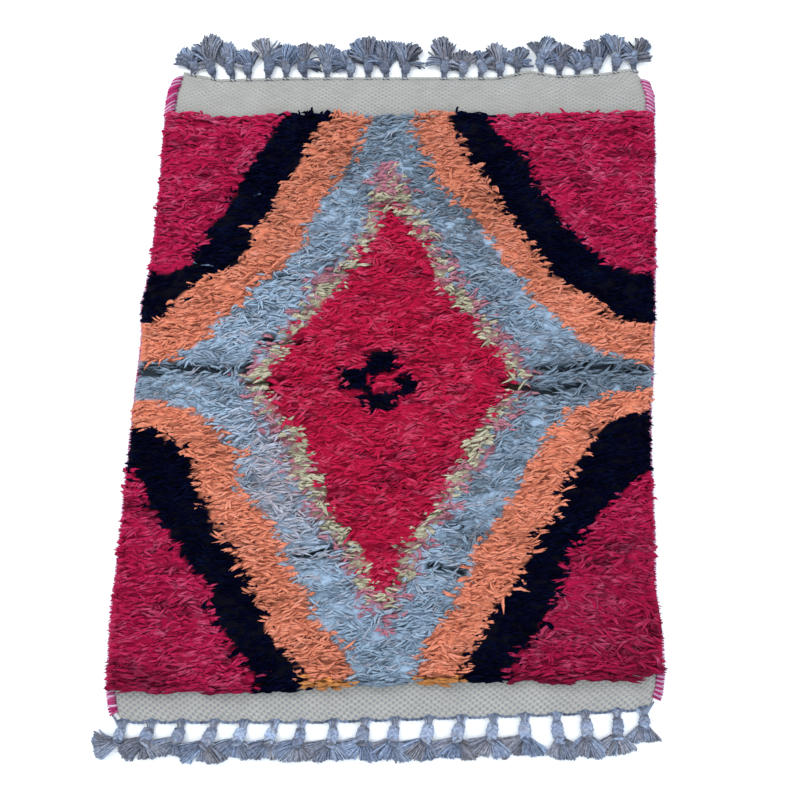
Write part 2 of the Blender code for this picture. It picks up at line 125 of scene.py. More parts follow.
# The broken line round the middle lozenge: y, then x where pink, sage and crimson start
# from the left, then where crimson, sage and pink end on the right
lozengeLine = (
    (-32.3, -2.6, -2, -2, -2, -2, -1.4), (-30, -4.7, -2.3, -2.3, -2.3, -2.3, 0),
    (-28.5, -5, -3.6, -2.3, -2.3, -1.2, 0.7), (-27, -5.6, -4.6, -2.6, -2, -0.1, 1.2),
    (-25, -7.7, -5.6, -4, -0.9, 1.5, 2.4), (-22.5, -8.3, -6.2, -4.7, 0.1, 1.9, 3.7),
    (-20, -10.4, -9.2, -6.8, 1.6, 3.8, 5.2), (-17.5, -12, -10.7, -8.8, 3.8, 5.3, 7.1),
    (-15, -12.8, -11.2, -9.4, 5.3, 6.8, 8), (-12.5, -15, -13.8, -10.3, 6.5, 9.2, 10.1),
    (-10, -15.6, -14.1, -11.8, 8.5, 10.4, 11.8), (-7.5, -16.8, -14.8, -12.5, 9.4, 11.6, 13),
    (-5, -18.3, -17.1, -15.6, 11.6, 13.2, 14.9), (-2.5, -20, -19, -17.1, 14, 15.6, 17),
    (0, -21, -19.8, -17.1, 14.7, 16.2, 17.2), (2.5, -18.6, -16.8, -15.1, 13.2, 14.5, 16.2),
    (5, -17.4, -15.6, -14.1, 10.6, 12.8, 14.8), (7.5, -14.8, -13.5, -11.6, 9.7, 11, 12),
    (10, -13, -12, -10, 6.7, 9.4, 10.6), (12.5, -12.2, -11, -7.5, 5.3, 6.8, 9.2),
    (15, -9.2, -7.4, -5.4, 4.5, 6, 7.4), (17.5, -7.1, -5.9, -4.5, 3.3, 4.4, 7),
    (20, -5.4, -5, -2.8, 1.6, 3.3, 4.1), (22.5, -4.2, -3.8, -1.8, -0.5, 1.9, 2.5),
    (23.8, -4, -3.7, -1.2, -1, 1.5, 2), (25, -3.9, -3.7, -1.1, -1.1, 1.4, 1.7),
    (27.5, -4.1, -2.6, -1.2, -1.2, 0.2, 1.3), (29.3, -2.8, -1.4, -1.4, -1.4, -1.4, -0.2),
)
# The lozenge's two stray blocks: x from, y from, x to, y to
lozengeTips = ((-1.5, 22.8, 0.2, 23.8), (-3.9, -26.6, -0.7, -24.2))
# The near-black ring in the middle: x from, y from, x to, y to
ringBlocks = (
    (-4.3, 0.4, -0.2, 3.4), (-7.6, -1.7, -3.9, 0.9), (-5.6, 0.4, -3.9, 1.3),
    (-4.6, -4.5, -0.4, -2.4), (-5.4, -2.8, -3.8, -1.4), (-0.4, -2.4, 2.4, 0.1),
    (-1.6, -2.9, 0.4, -2),
)
# Dark partings between the rows: x from, x to, y, half height
partings = (
    (-34, -19, 0.9, 0.7), (17, 33, 1, 0.6), (-13, -8, -22.5, 0.35), (3, 8, -24.5, 0.4),
    (-16, -13, 13.5, 0.2), (-21, -13, -1.2, 0.35), (13, 24, -1.6, 0.5), (-19, -11, 4.6, 0.3),
)

# Each plait: x of the root, x and y of the knot, x and y of the tuft's tips, width of the fan
nearPlaits = (
    (-33.2, -33.8, -44.8, -36.3, -45.7, 0.8), (-29.8, -30.4, -44.8, -31.6, -46.7, 2.6),
    (-26.2, -26.9, -44.8, -28.3, -46.4, 2.4), (-22.2, -23.4, -45.2, -24.4, -47.2, 2.2),
    (-18.7, -19.4, -44.9, -20.5, -46.6, 2.5), (-15, -15.7, -45, -16.6, -46.8, 2.5),
    (-11.8, -12.3, -45.1, -13, -46.9, 2.3), (-8, -8.3, -45.1, -9.1, -47, 2.6),
    (-4.1, -4.5, -44.9, -5.2, -46.9, 2.6), (-0.5, -0.9, -44.9, -1.6, -46.9, 2.5),
    (3.5, 3, -44.8, 2.4, -46.7, 2.5), (7.4, 6.8, -44.8, 6.2, -46.8, 2.6),
    (11.3, 10.9, -44.6, 10.6, -46.5, 2.6), (15, 15, -44.5, 14.3, -46.4, 2.3),
    (18.8, 19.1, -44.7, 19.2, -46.6, 1.6), (22.2, 22.4, -44.3, 22.5, -46.4, 1.7),
    (26.1, 26, -44.2, 25.7, -46.1, 1.8), (29.2, 29.2, -43.1, 29, -44.9, 1.4),
)
farPlaits = (
    (-28.7, -28.9, 45.1, -30.3, 46.6, 1.4), (-25.8, -26.5, 45.6, -27.6, 48.6, 2),
    (-23.2, -23.6, 45.2, -24, 47.9, 1.6), (-21, -21, 44.9, -21.3, 46.7, 1.2),
    (-18.3, -18.6, 46.1, -18.4, 48.9, 1.9), (-15.8, -16, 45, -15.9, 47.5, 1.4),
    (-13.2, -13.5, 45.2, -13.7, 47.7, 1.5), (-10.1, -10.2, 45, -10, 47.8, 1.7),
    (-6.9, -7.1, 44.9, -7.7, 46.8, 1.4), (-4.4, -4.5, 45.8, -4.8, 48.9, 1.8),
    (-1.9, -2, 45.1, -2.3, 48.4, 1.5), (0.6, 0.5, 45, 0.3, 48.2, 1.6),
    (6.1, 6.3, 45.5, 6.4, 48.5, 1.7), (8.6, 8.7, 44.8, 9, 46.7, 1.3),
    (11.2, 11.3, 44.9, 11.6, 46.9, 1.5), (13.9, 13.8, 45, 13.9, 47.6, 1.5),
    (16.3, 16.3, 45.4, 16.6, 47.4, 1.3), (19.6, 19.7, 45.9, 19.7, 48.9, 1.5),
    (22.1, 22.2, 45.3, 22.3, 47.9, 1.4), (24.6, 24.9, 44.9, 25.2, 46.7, 1.2),
    (27.2, 27.5, 45.5, 28, 48.5, 1.6), (29.9, 30.1, 46.2, 30.4, 49.1, 1.4),
    (32.5, 32.6, 46.2, 33.3, 48.9, 1.9),
)

# Width of the overcast edges and the gap the cloth keeps from them
edgeWidth = 0.0085
edgeGap = 0.0005


def readTable(table, at, column=1):
    rows = np.asarray(table, dtype=float)
    return np.interp(np.asarray(at) / cm, rows[:, 0], rows[:, column]) * cm


def smoothStep(low, high, value):
    share = np.clip((value - low) / (high - low), 0.0, 1.0)
    return share * share * (3.0 - 2.0 * share)


def opaque(colour):
    return (*colour, 1.0)


# Node trees, written as plain arithmetic on their wires

class Wire:
    def __init__(self, tree, socket):
        self.tree = tree
        self.socket = socket

    def __add__(self, other):
        return self.tree.calc("ADD", self, other)

    def __sub__(self, other):
        return self.tree.calc("SUBTRACT", self, other)

    def __rsub__(self, other):
        return self.tree.calc("SUBTRACT", other, self)

    def __mul__(self, other):
        return self.tree.calc("MULTIPLY", self, other)

    def __truediv__(self, other):
        return self.tree.calc("DIVIDE", self, other)


def isVector(value):
    if isinstance(value, Wire):
        return value.socket.type in ("VECTOR", "RGBA")
    return isinstance(value, tuple)


class Tree:
    def __init__(self, group):
        self.group = group

    def fill(self, socket, value):
        if isinstance(value, Wire):
            self.group.links.new(value.socket, socket)
        else:
            socket.default_value = value

    def add(self, kind, values=None, **settings):
        made = self.group.nodes.new(kind)
        for key, value in settings.items():
            setattr(made, key, value)
        for key, value in (values or {}).items():
            self.fill(made.inputs[key], value)
        return made

    def geo(self, kind, values=None, out=0, **settings):
        return Wire(self, self.add("GeometryNode" + kind, values, **settings).outputs[out])

    def shade(self, kind, values=None, out=0, **settings):
        return Wire(self, self.add("ShaderNode" + kind, values, **settings).outputs[out])

    def calc(self, operation, *values):
        if not isVector(values[0]):
            return self.shade("Math", dict(enumerate(values)), operation=operation)
        if operation == "MULTIPLY" and not isVector(values[1]):
            return self.shade("VectorMath", {0: values[0], "Scale": values[1]}, operation="SCALE")
        return self.shade("VectorMath", dict(enumerate(values)), operation=operation)

    def vector(self, x, y, z):
        return self.shade("CombineXYZ", {"X": x, "Y": y, "Z": z})

    def apart(self, vector):
        made = self.add("ShaderNodeSeparateXYZ", {"Vector": vector})
        return [Wire(self, socket) for socket in made.outputs]

    def above(self, place, floor):
        # Lifts what would sink under the floor
        x, y, z = self.apart(place)
        return self.vector(x, y, self.calc("MAXIMUM", z, floor))

    def between(self, value, low, high, newLow=0.0, newHigh=1.0):
        return self.shade("MapRange", {"Value": value, "From Min": low, "From Max": high,
                                       "To Min": newLow, "To Max": newHigh})

    def profile(self, factor, points):
        made = self.add("ShaderNodeFloatCurve", {"Value": factor})
        line = made.mapping.curves[0]
        line.points[0].location = points[0]
        line.points[1].location = points[-1]
        for place in points[1:-1]:
            line.points.new(*place)
        made.mapping.update()
        return Wire(self, made.outputs[0])

    def noise(self, place, scale, detail, out=0, **more):
        return self.shade("TexNoise", {"Vector": place, "Scale": scale, "Detail": detail, **more}, out)

    def mix(self, share, first, second):
        made = self.add("ShaderNodeMix", {"Factor": share}, data_type="RGBA")
        sockets = {socket.identifier: socket for socket in (*made.inputs, *made.outputs)}
        for key, colour in (("A_Color", first), ("B_Color", second)):
            self.fill(sockets[key], colour if isinstance(colour, Wire) else opaque(colour))
        return Wire(self, sockets["Result_Color"])

    def read(self, name, kind="FLOAT"):
        return self.geo("InputNamedAttribute", {"Name": name}, "Attribute", data_type=kind)

    def store(self, geometry, name, value, kind="FLOAT"):
        return self.geo("StoreNamedAttribute", {"Geometry": geometry, "Name": name, "Value": value},
                        data_type=kind, domain="POINT")

    def attribute(self, name, out="Fac"):
        return self.shade("Attribute", out=out, attribute_name=name)

    def place(self):
        return self.shade("TexCoord", out="Object")


def newGroup(name, kind, inputs, outputs):
    # Inputs are given by their first value, or by their kind where they have none
    group = bpy.data.node_groups.new(name, kind)
    for label, value in inputs.items():
        form = {int: "Int", float: "Float"}.get(type(value), value)
        socket = group.interface.new_socket(name=label, in_out="INPUT", socket_type="NodeSocket" + form)
        if form != value:
            socket.default_value = value
    for label, form in outputs.items():
        group.interface.new_socket(name=label, in_out="OUTPUT", socket_type="NodeSocket" + form)
    tree = Tree(group)
    entry = {socket.name: Wire(tree, socket) for socket in tree.add("NodeGroupInput").outputs}
    return tree, entry, tree.add("NodeGroupOutput").inputs


def newYarnTree(name, inputs):
    shared = {"Geometry": "Geometry", "Material": "Material", "Sides": 4, "Yarn radius": 0.002,
              "Flatness": 1.0}
    return newGroup(name, "GeometryNodeTree", {**shared, **inputs}, {"Geometry": "Geometry"})


def onRoots(tree, entry, curve):
    placed = tree.geo("InstanceOnPoints", {"Points": entry["Geometry"], "Instance": curve})
    return tree.geo("RealizeInstances", {"Geometry": placed})


def skinYarn(tree, entry, leave, curve, thickness):
    # Skins a curve with a closed, capped yarn and keeps a round-the-yarn coordinate on it
    ring = tree.geo("CurvePrimitiveCircle", {"Resolution": entry["Sides"], "Radius": 1.0}, mode="RADIUS")
    marked = tree.store(ring, "around", tree.geo("InputPosition"), "FLOAT_VECTOR")
    flat = tree.geo("Transform", {"Geometry": marked, "Scale": tree.vector(entry["Flatness"], 1.0, 1.0)})
    skin = tree.geo("CurveToMesh", {"Curve": curve, "Profile Curve": flat, "Scale": thickness,
                                    "Fill Caps": True})
    smooth = tree.geo("SetShadeSmooth", {"Geometry": skin})
    real = tree.geo("RealizeInstances", {"Geometry": smooth})
    tree.fill(leave["Geometry"], tree.geo("SetMaterial", {"Geometry": real, "Material": entry["Material"]}))


# One lock of wool on each point: it leaves the cloth, arches over and lies down along its heading
def lockTree(name, rise, run, girth):
    tree, entry, leave = newYarnTree(name, {
        "Steps": 4, "Wander": 0.003, "Wander scale": 260.0, "Twist": 2.0, "Floor": 0.0})
    line = tree.geo("CurvePrimitiveLine", {"Start": (0.0, 0.0, 0.0), "End": (1.0, 0.0, 0.0)}, mode="POINTS")
    points = tree.geo("ResampleCurve", {"Curve": line, "Count": entry["Steps"] + 1.0}, mode="COUNT")
    real = onRoots(tree, entry, points)

    along = tree.geo("SplineParameter")
    root = tree.geo("InputPosition") - tree.vector(along, 0.0, 0.0)
    heading = tree.read("heading") + tree.read("bend") * along
    tone = tree.read("tone")
    way = tree.vector(tree.calc("COSINE", heading), tree.calc("SINE", heading), 0.0)
    out = tree.read("reach") * tree.profile(along, run)
    up = tree.read("crest") * tree.profile(along, rise)
    straight = root + way * out + tree.vector(0.0, 0.0, up)
    place = root * entry["Wander scale"] + tree.vector(tone * 57.0, along * 1.3, tone)
    drift = (tree.noise(place, 1.0, 1.0, "Color") - (0.5, 0.5, 0.5)) * (2.0, 2.0, 1.3)
    bent = straight + drift * (entry["Wander"] * tree.calc("POWER", along, 0.8))
    laid = tree.geo("SetPosition", {"Geometry": real, "Position": tree.above(bent, entry["Floor"])})

    tilt = tone * 6.283 + along * entry["Twist"]
    turned = tree.geo("SetCurveTilt", {"Curve": laid, "Tilt": tilt})
    thickness = entry["Yarn radius"] * tree.read("girth") * tree.profile(along, girth)
    skinYarn(tree, entry, leave, tree.store(turned, "along", along), thickness)
    return tree.group


# Strands that follow a path and cross over each other: a plait of three, or a twine of two
def plaitTree():
    tree, entry, leave = newYarnTree("plaitedYarn", {
        "Strands": 3, "Turns per metre": 60.0, "Sway": 0.0027, "Lift": 0.0013, "Lift rate": 2.0,
        "Lift shift": 0.0, "Height": 0.0036, "Spacing": 0.0013, "End taper": 0.0})
    curve = tree.geo("MeshToCurve", {"Mesh": entry["Geometry"]})
    points = tree.geo("ResampleCurve", {"Curve": curve, "Length": entry["Spacing"]}, mode="LENGTH")
    copies = tree.add("GeometryNodeDuplicateElements", {"Geometry": points, "Amount": entry["Strands"]},
                      domain="SPLINE").outputs
    strand = tree.store(Wire(tree, copies["Geometry"]), "strand", Wire(tree, copies["Duplicate Index"]))

    factor = tree.geo("SplineParameter")
    length = tree.geo("SplineParameter", out="Length")
    girth = tree.read("girth")
    share = tree.read("strand") / entry["Strands"]
    turn = (length * entry["Turns per metre"] + (share + tree.read("tone"))) * (2.0 * math.pi)
    side = entry["Sway"] * girth * tree.calc("SINE", turn)
    lift = entry["Lift"] * tree.calc("SINE", turn * entry["Lift rate"] + entry["Lift shift"])
    sideways = tree.calc("CROSS_PRODUCT", tree.geo("InputTangent"), (0.0, 0.0, 1.0))
    shift = tree.calc("NORMALIZE", sideways) * side + tree.vector(0.0, 0.0, entry["Height"] + lift)
    swayed = tree.geo("SetPosition", {"Geometry": strand, "Offset": shift})
    edge = tree.calc("MINIMUM", factor, 1.0 - factor)
    taper = tree.between(edge, 0.0, 0.12, 1.0 - entry["End taper"], 1.0)
    thickness = entry["Yarn radius"] * girth * taper
    skinYarn(tree, entry, leave, tree.store(swayed, "along", length * 60.0), thickness)
    return tree.group


# A ring of yarn wrapped round a cord, a knot or an edge, leaning with its slant
def wrapTree():
    tree, entry, leave = newYarnTree("wrappedYarn", {"Steps": 10, "Slant": 0.4, "Floor": 0.001})
    ring = tree.geo("CurvePrimitiveCircle", {"Resolution": entry["Steps"], "Radius": 1.0}, mode="RADIUS")
    real = onRoots(tree, entry, tree.store(ring, "spot", tree.geo("InputPosition"), "FLOAT_VECTOR"))

    spot = tree.read("spot", "FLOAT_VECTOR")
    root = tree.geo("InputPosition") - spot
    spots = tree.apart(spot)
    heading = tree.read("heading")
    cosine, sine = tree.calc("COSINE", heading), tree.calc("SINE", heading)
    sideways = spots[0] * tree.read("reach")
    forward = sideways * (entry["Slant"] * tree.read("lean"))
    upward = spots[1] * tree.read("crest")
    lean = tree.vector(cosine, sine, 0.0) * forward + tree.vector(0.0, 0.0, upward)
    moved = root + tree.vector(sine * -1.0, cosine, 0.0) * sideways + lean
    laid = tree.geo("SetPosition", {"Geometry": real, "Position": tree.above(moved, entry["Floor"])})
    middle = tree.calc("ABSOLUTE", tree.geo("SplineParameter") - 0.5)
    thickness = entry["Yarn radius"] * tree.read("girth")
    skinYarn(tree, entry, leave, tree.store(laid, "along", middle), thickness)
    return tree.group


# The wool that all yarns and locks are made of

def makeWoolFibre():
    tree, entry, leave = newGroup("woolFibre", "ShaderNodeTree", {
        "Deep shade": "Color", "Body": "Color", "Light": "Color", "Along": 0.5, "Tone": 0.5, "Around": "Vector",
        "Place": "Vector", "Streaks": 2.2, "Blotches": 38.0, "Contrast": 1.0},
        {"Colour": "Color", "Height": "Float", "Roughness": "Float"})
    tone, along, place = entry["Tone"], entry["Along"], entry["Place"]
    stretched = entry["Around"] * entry["Streaks"] + tree.vector(tone * 61.0, tone, along * 2.6)
    streak = tree.noise(stretched, 1.0, 3.0, Roughness=0.62)
    blotch = tree.noise(place, entry["Blotches"], 3.0, Roughness=0.6)
    fuzz = tree.noise(place, 900.0, 2.0)
    lift = (streak - 0.5) * 1.15 + ((tone - 0.5) * 0.55 + (blotch - 0.5) * 1.3)
    level = lift * entry["Contrast"] + (fuzz - 0.5) * 0.3
    # Painted shade: the body colour goes towards the deep shade near the root, low in the pile
    body = tree.mix(tree.between(along, 0.0, 0.5, 0.6, 0.0), entry["Body"], entry["Deep shade"])
    darkened = tree.mix(tree.between(level, -0.1, -0.75, 0.0, 0.7), body, entry["Deep shade"])
    lit = tree.mix(tree.between(level, 0.0, 0.7, 0.0, 0.85), darkened, entry["Light"])
    tree.fill(leave["Colour"], lit)
    tree.fill(leave["Height"], streak + fuzz * 0.35)
    tree.fill(leave["Roughness"], tree.between(streak, 0.2, 0.8, 0.92, 0.66))
    return tree.group


woolFibre = makeWoolFibre()


def newMaterial(name, roughness=0.8, specular=0.25, sheen=0.0, sheenTint=(1.0, 1.0, 1.0)):
    material = bpy.data.materials.new(name)
    material.use_nodes = True
    shader = material.node_tree.nodes["Principled BSDF"].inputs
    for key, value in (("Roughness", roughness), ("Specular IOR Level", specular), ("Sheen Weight", sheen),
                       ("Sheen Roughness", 0.45), ("Sheen Tint", opaque(sheenTint))):
        shader[key].default_value = value
    return material, Tree(material.node_tree), shader


def paint(tree, shader, colour, height, strength, distance):
    relief = tree.shade("Bump", {"Strength": strength, "Distance": distance, "Height": height})
    tree.fill(shader["Base Color"], colour)
    tree.fill(shader["Normal"], relief)


def woolMaterial(name, colours, second=None, sheen=0.3, specular=0.08, streaks=3.2, blotches=38.0,
                 contrast=1.0):
    material, tree, shader = newMaterial(name, specular=specular, sheen=sheen, sheenTint=colours[2])
    fibre = tree.add("ShaderNodeGroup", node_tree=woolFibre)
    values = {"Along": tree.attribute("along"), "Tone": tree.attribute("tone"), "Place": tree.place(),
              "Around": tree.attribute("around", "Vector"), "Streaks": streaks, "Blotches": blotches,
              "Contrast": contrast}
    for index, key in enumerate(("Deep shade", "Body", "Light")):
        values[key] = opaque(colours[index])
        if second:  # dye is 0 for the first colours and 1 for the second
            values[key] = tree.mix(tree.attribute("dye"), colours[index], second[index])
    for key, value in values.items():
        tree.fill(fibre.inputs[key], value)
    colour, height, roughness = [Wire(tree, socket) for socket in fibre.outputs]
    # Painted shade: locks that lie deeper are darkened by their own shade value
    shaded = tree.mix(tree.attribute("shade"), colour, (0.0, 0.0, 0.004))
    paint(tree, shader, shaded, height, 0.6, 0.0006)
    tree.fill(shader["Roughness"], roughness)
    return material


# Making pieces

def meshFrom(name, vertices, edges, faces, attributes=None):
    mesh = bpy.data.meshes.new(name)
    mesh.from_pydata([tuple(v) for v in vertices], edges, faces)
    for label, values in (attributes or {}).items():
        values = np.asarray(values, dtype=np.float32)
        kind, field = ("FLOAT", "value") if values.ndim == 1 else ("FLOAT_COLOR", "color")
        mesh.attributes.new(label, kind, "POINT").data.foreach_set(field, values.ravel())
    mesh.update()
    return mesh


def gridFaces(index):
    corners = (index[:-1, :-1], index[:-1, 1:], index[1:, 1:], index[1:, :-1])
    return np.stack(corners, axis=-1).reshape(-1, 4)


def rimOf(index):
    return np.concatenate((index[0, :], index[1:, -1], index[-1, -2::-1], index[-2:0:-1, 0]))


def wallFaces(rim, foot):
    return np.stack((np.roll(rim, -1), rim, foot, np.roll(foot, -1)), axis=-1).tolist()


def addObject(name, data):
    made = bpy.data.objects.new(name, data)
    bpy.context.scene.collection.objects.link(made)
    return made


def addSmoothPiece(mesh, material):
    mesh.polygons.foreach_set("use_smooth", [True] * len(mesh.polygons))
    mesh.materials.append(material)
    return addObject(mesh.name, mesh)


def growPiece(name, source, tree, **values):
    # Runs a tree once on its source points and keeps the plain mesh
    made = addObject(name, source)
    grower = made.modifiers.new("grow", "NODES")
    grower.node_group = tree
    sockets = {s.name: s.identifier for s in tree.interface.items_tree if s.in_out == "INPUT"}
    for key, value in values.items():
        grower[sockets[key]] = value
    graph = bpy.context.evaluated_depsgraph_get()
    grown = bpy.data.meshes.new_from_object(made.evaluated_get(graph), depsgraph=graph)
    made.modifiers.remove(grower)
    made.data = grown
    grown.name = name
    for label in ("heading", "bend", "reach", "crest", "girth", "lean", "strand", "spot"):
        if label in grown.attributes:
            grown.attributes.remove(grown.attributes[label])
    return made


def finishPiece(piece, slotName, *nodes):
    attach(piece, "root")
    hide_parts(*nodes)


def joinMeshes(name, pieces):
    # Puts several grown pieces of one material into one mesh
    bpy.ops.object.select_all(action="DESELECT")
    for piece in pieces:
        piece.select_set(True)
    bpy.context.view_layer.objects.active = pieces[0]
    bpy.ops.object.join()
    joined = bpy.context.view_layer.objects.active
    joined.name = name
    joined.data.name = name
    return joined


# The woven ground: one cloth, woven open at the two bands and hidden under the pile between them

ground = {
    "width": 0.668, "length": 0.855, "nearY": -0.425, "thickness": 0.0030, "underside": 0.0003,
    "warpPitch": 0.00475, "nearPick": 0.00325, "farPick": 0.0028, "cells": 2, "relief": 0.0007,
    "nearBand": 0.066, "farBand": 0.076, "middleRows": 10, "scallop": 0.0018, "scallopDepth": 0.012,
    "wave": 0.00035, "underColumns": 24, "underStrip": 14,
}
groundColours = {
    "weft": (0.336, 0.314, 0.278), "paleWeft": (0.404, 0.380, 0.342), "slub": (0.472, 0.446, 0.406),
    "fibre": (0.270, 0.262, 0.245), "hollowShade": (0.230, 0.235, 0.245), "warp": (0.170, 0.182, 0.205),
    "covered": (0.180, 0.172, 0.158),
}


def groundPoint(across, along):
    y = ground["nearY"] + ground["length"] * along
    # The ends' slant moves y, so the long edges are read again at the new y
    for _ in range(3):
        left = readTable(leftEdge, y) + edgeWidth + edgeGap
        right = readTable(rightEdge, y) - edgeWidth - edgeGap
        x = left + (right - left) * across
        near = readTable(nearEnd, x)
        far = readTable(farEnd, x)
        y = near + (far - near) * along
    return x, y


def makeGroundMaterial():
    material, tree, shader = newMaterial("handspunGroundCloth", roughness=0.9, specular=0.1, sheen=0.1)
    place = tree.place()
    openness = tree.attribute("weaveOpen")
    patch = tree.noise(place, 26.0, 3.0)
    fibre = tree.noise(place * (500.0, 1900.0, 900.0), 1.0, 3.0)
    slub = tree.noise(place * (60.0, 420.0, 1.0), 1.0, 1.0)
    # Hand-laid threads wander a little from their even count
    strays = tree.apart(tree.noise(place, 85.0, 2.0, "Color"))
    warps = tree.attribute("warps") + tree.between(strays[0], 0.0, 1.0, -0.35, 0.35)
    picks = tree.attribute("picks") + tree.between(strays[1], 0.0, 1.0, -0.40, 0.40)
    row = tree.calc("COSINE", picks * math.pi)
    over = tree.calc("COSINE", warps * math.pi) * row
    swell = tree.calc("ABSOLUTE", row)
    colour = tree.mix(tree.between(patch, 0.35, 0.7), groundColours["weft"], groundColours["paleWeft"])
    # Painted shade darkens the hollows between the weft rows where the weave is open
    for share, key in (
            (tree.between(slub, 0.35, 0.7, 0.0, 0.5), "slub"),
            (tree.between(fibre, 0.35, 0.75, 0.0, 0.35), "fibre"),
            (tree.between(swell, 0.60, 0.05, 0.0, 0.75) * openness, "hollowShade"),
            (tree.between(over, 0.05, -0.85) * openness, "warp"),
            (tree.between(openness, 0.75, 0.30, 0.0, 0.24), "covered")):
        colour = tree.mix(share, colour, groundColours[key])
    paint(tree, shader, colour, over + swell + fibre * 0.8, 0.5, 0.0004)
    return material


def betweenPlaits(plaits, x):
    # -1 at a plait's root, 1 between two of them
    roots = np.array([row[0] * cm for row in plaits])
    apart = np.min(np.abs(x[..., None] - roots), axis=-1)
    return smoothStep(0.0, ground["scallopDepth"], apart) * 2.0 - 1.0


def makeGround():
    cells, length = ground["cells"], ground["length"]
    columns = int(round(ground["width"] / ground["warpPitch"])) * cells
    nearRows = int(round(ground["nearBand"] / ground["nearPick"])) * cells
    farRows = int(round(ground["farBand"] / ground["farPick"])) * cells
    nearShare = nearRows * ground["nearPick"] / cells / length
    farShare = farRows * ground["farPick"] / cells / length
    along = np.concatenate((
        np.linspace(0.0, nearShare, nearRows + 1),
        np.linspace(nearShare, 1.0 - farShare, ground["middleRows"] + 1)[1:-1],
        np.linspace(1.0 - farShare, 1.0, farRows + 1)))
    rows = len(along)
    u, v = np.meshgrid(np.linspace(0.0, 1.0, columns + 1), along)
    x, y = groundPoint(u, v)
    i, j = np.meshgrid(np.arange(columns + 1), np.arange(rows))
    inBand = ((j <= nearRows) | (j >= rows - 1 - farRows)).astype(float)
    # Threads are counted in both directions, and the weft passes over every second warp
    warps, picks = i / cells, np.where(j <= nearRows, j, j - (rows - 1)) / cells
    row = np.cos(math.pi * picks)
    height = 0.55 * np.abs(row) + 0.45 * np.cos(math.pi * warps) * row
    # The weave opens by the near end, and is beaten closer at the far end
    flow = 0.5 + 0.5 * np.sin(x * 47.0 + 3.0 * np.sin(y * 130.0)) * np.sin(y * 210.0 + x * 31.0)
    nearOpen = smoothStep(-0.385, -0.400, y) * 0.2 + 0.8
    weaveOpen = np.where(y < 0, nearOpen * (0.74 + 0.20 * flow), 0.42 + 0.45 * flow * flow) * inBand
    rise = ground["relief"] * height * inBand * np.where(y < 0, 1.0, 0.6)
    # The cloth bulges a little between the plaits that pull on its ends
    depth = ground["scallopDepth"]
    nearBulge = betweenPlaits(nearPlaits, x) * smoothStep(0.0, depth, depth - (y - readTable(nearEnd, x)))
    farBulge = betweenPlaits(farPlaits, x) * smoothStep(0.0, depth, depth - (readTable(farEnd, x) - y))
    y = y + ground["scallop"] * (farBulge - nearBulge)
    wave = ground["wave"] * np.sin(x * 21.0 + 1.7) * np.sin(y * 33.0)
    z = ground["thickness"] - ground["relief"] + rise + wave
    top = np.stack((x, y, z), axis=-1).reshape(-1, 3)
    index = np.arange(len(top)).reshape(rows, columns + 1)
    # The wall under the rim, and the flat underside
    rim = rimOf(index)
    foot = top[rim].copy()
    foot[:, 2] = ground["underside"]
    vertices = np.concatenate((top, foot))
    faces = gridFaces(index).tolist() + wallFaces(rim, len(top) + np.arange(len(rim)))
    # The underside in coarser cells, with the scalloped ends kept in two strips of their own
    footOf = {int(v): len(top) + k for k, v in enumerate(rim)}
    coarse = np.unique(np.linspace(0, columns, ground["underColumns"]).round().astype(int))
    strip = ground["underStrip"]
    cellsUnder = [(r, int(c)) for r in range(strip, rows - strip) for c in coarse[1:-1]]
    inner = {cell: len(vertices) + k for k, cell in enumerate(cellsUnder)}
    under = [(x[cell], y[cell], ground["underside"]) for cell in cellsUnder]
    vertices = np.concatenate((vertices, under))

    def underAt(r, c):
        onRim = r in (0, rows - 1) or c in (0, columns)
        return footOf[int(index[r, c])] if onRim else inner[(r, int(c))]

    def addStrip(end, inside, c0, c1):
        # One cell of an end strip, with every point of the rim on it
        step = 1 if inside > end else -1
        loop = [underAt(end, c) for c in range(c0, c1 + 1)]
        loop += [underAt(r, c1) for r in range(end + step, inside, step) if c1 == columns]
        loop += [underAt(inside, c1), underAt(inside, c0)]
        loop += [underAt(r, c0) for r in range(inside - step, end, -step) if c0 == 0]
        faces.append(loop[::-step])

    for c0, c1 in zip(coarse[:-1], coarse[1:]):
        addStrip(0, strip, c0, c1)
        for r in range(strip, rows - strip - 1):
            faces.append([underAt(r, c0), underAt(r + 1, c0), underAt(r + 1, c1), underAt(r, c1)])
        addStrip(rows - 1, rows - 1 - strip, c0, c1)
    lowRows, lowColumns = np.concatenate((np.stack(np.divmod(rim, columns + 1), axis=-1), cellsUnder)).T
    attributes = {key: np.concatenate((values.ravel(), values[lowRows, lowColumns]))
                  for key, values in (("warps", warps), ("picks", picks), ("weaveOpen", weaveOpen))}
    mesh = meshFrom("wovenGround", vertices, [], faces, attributes)
    piece = addSmoothPiece(mesh, makeGroundMaterial())
    finishPiece(piece, "ground_wool", "woven_ground")
    return piece


groundPiece = makeGround()
print("woven ground:", len(groundPiece.data.polygons), "faces")

# The pile: locks of wool knotted in rows, coloured in nested lozenges

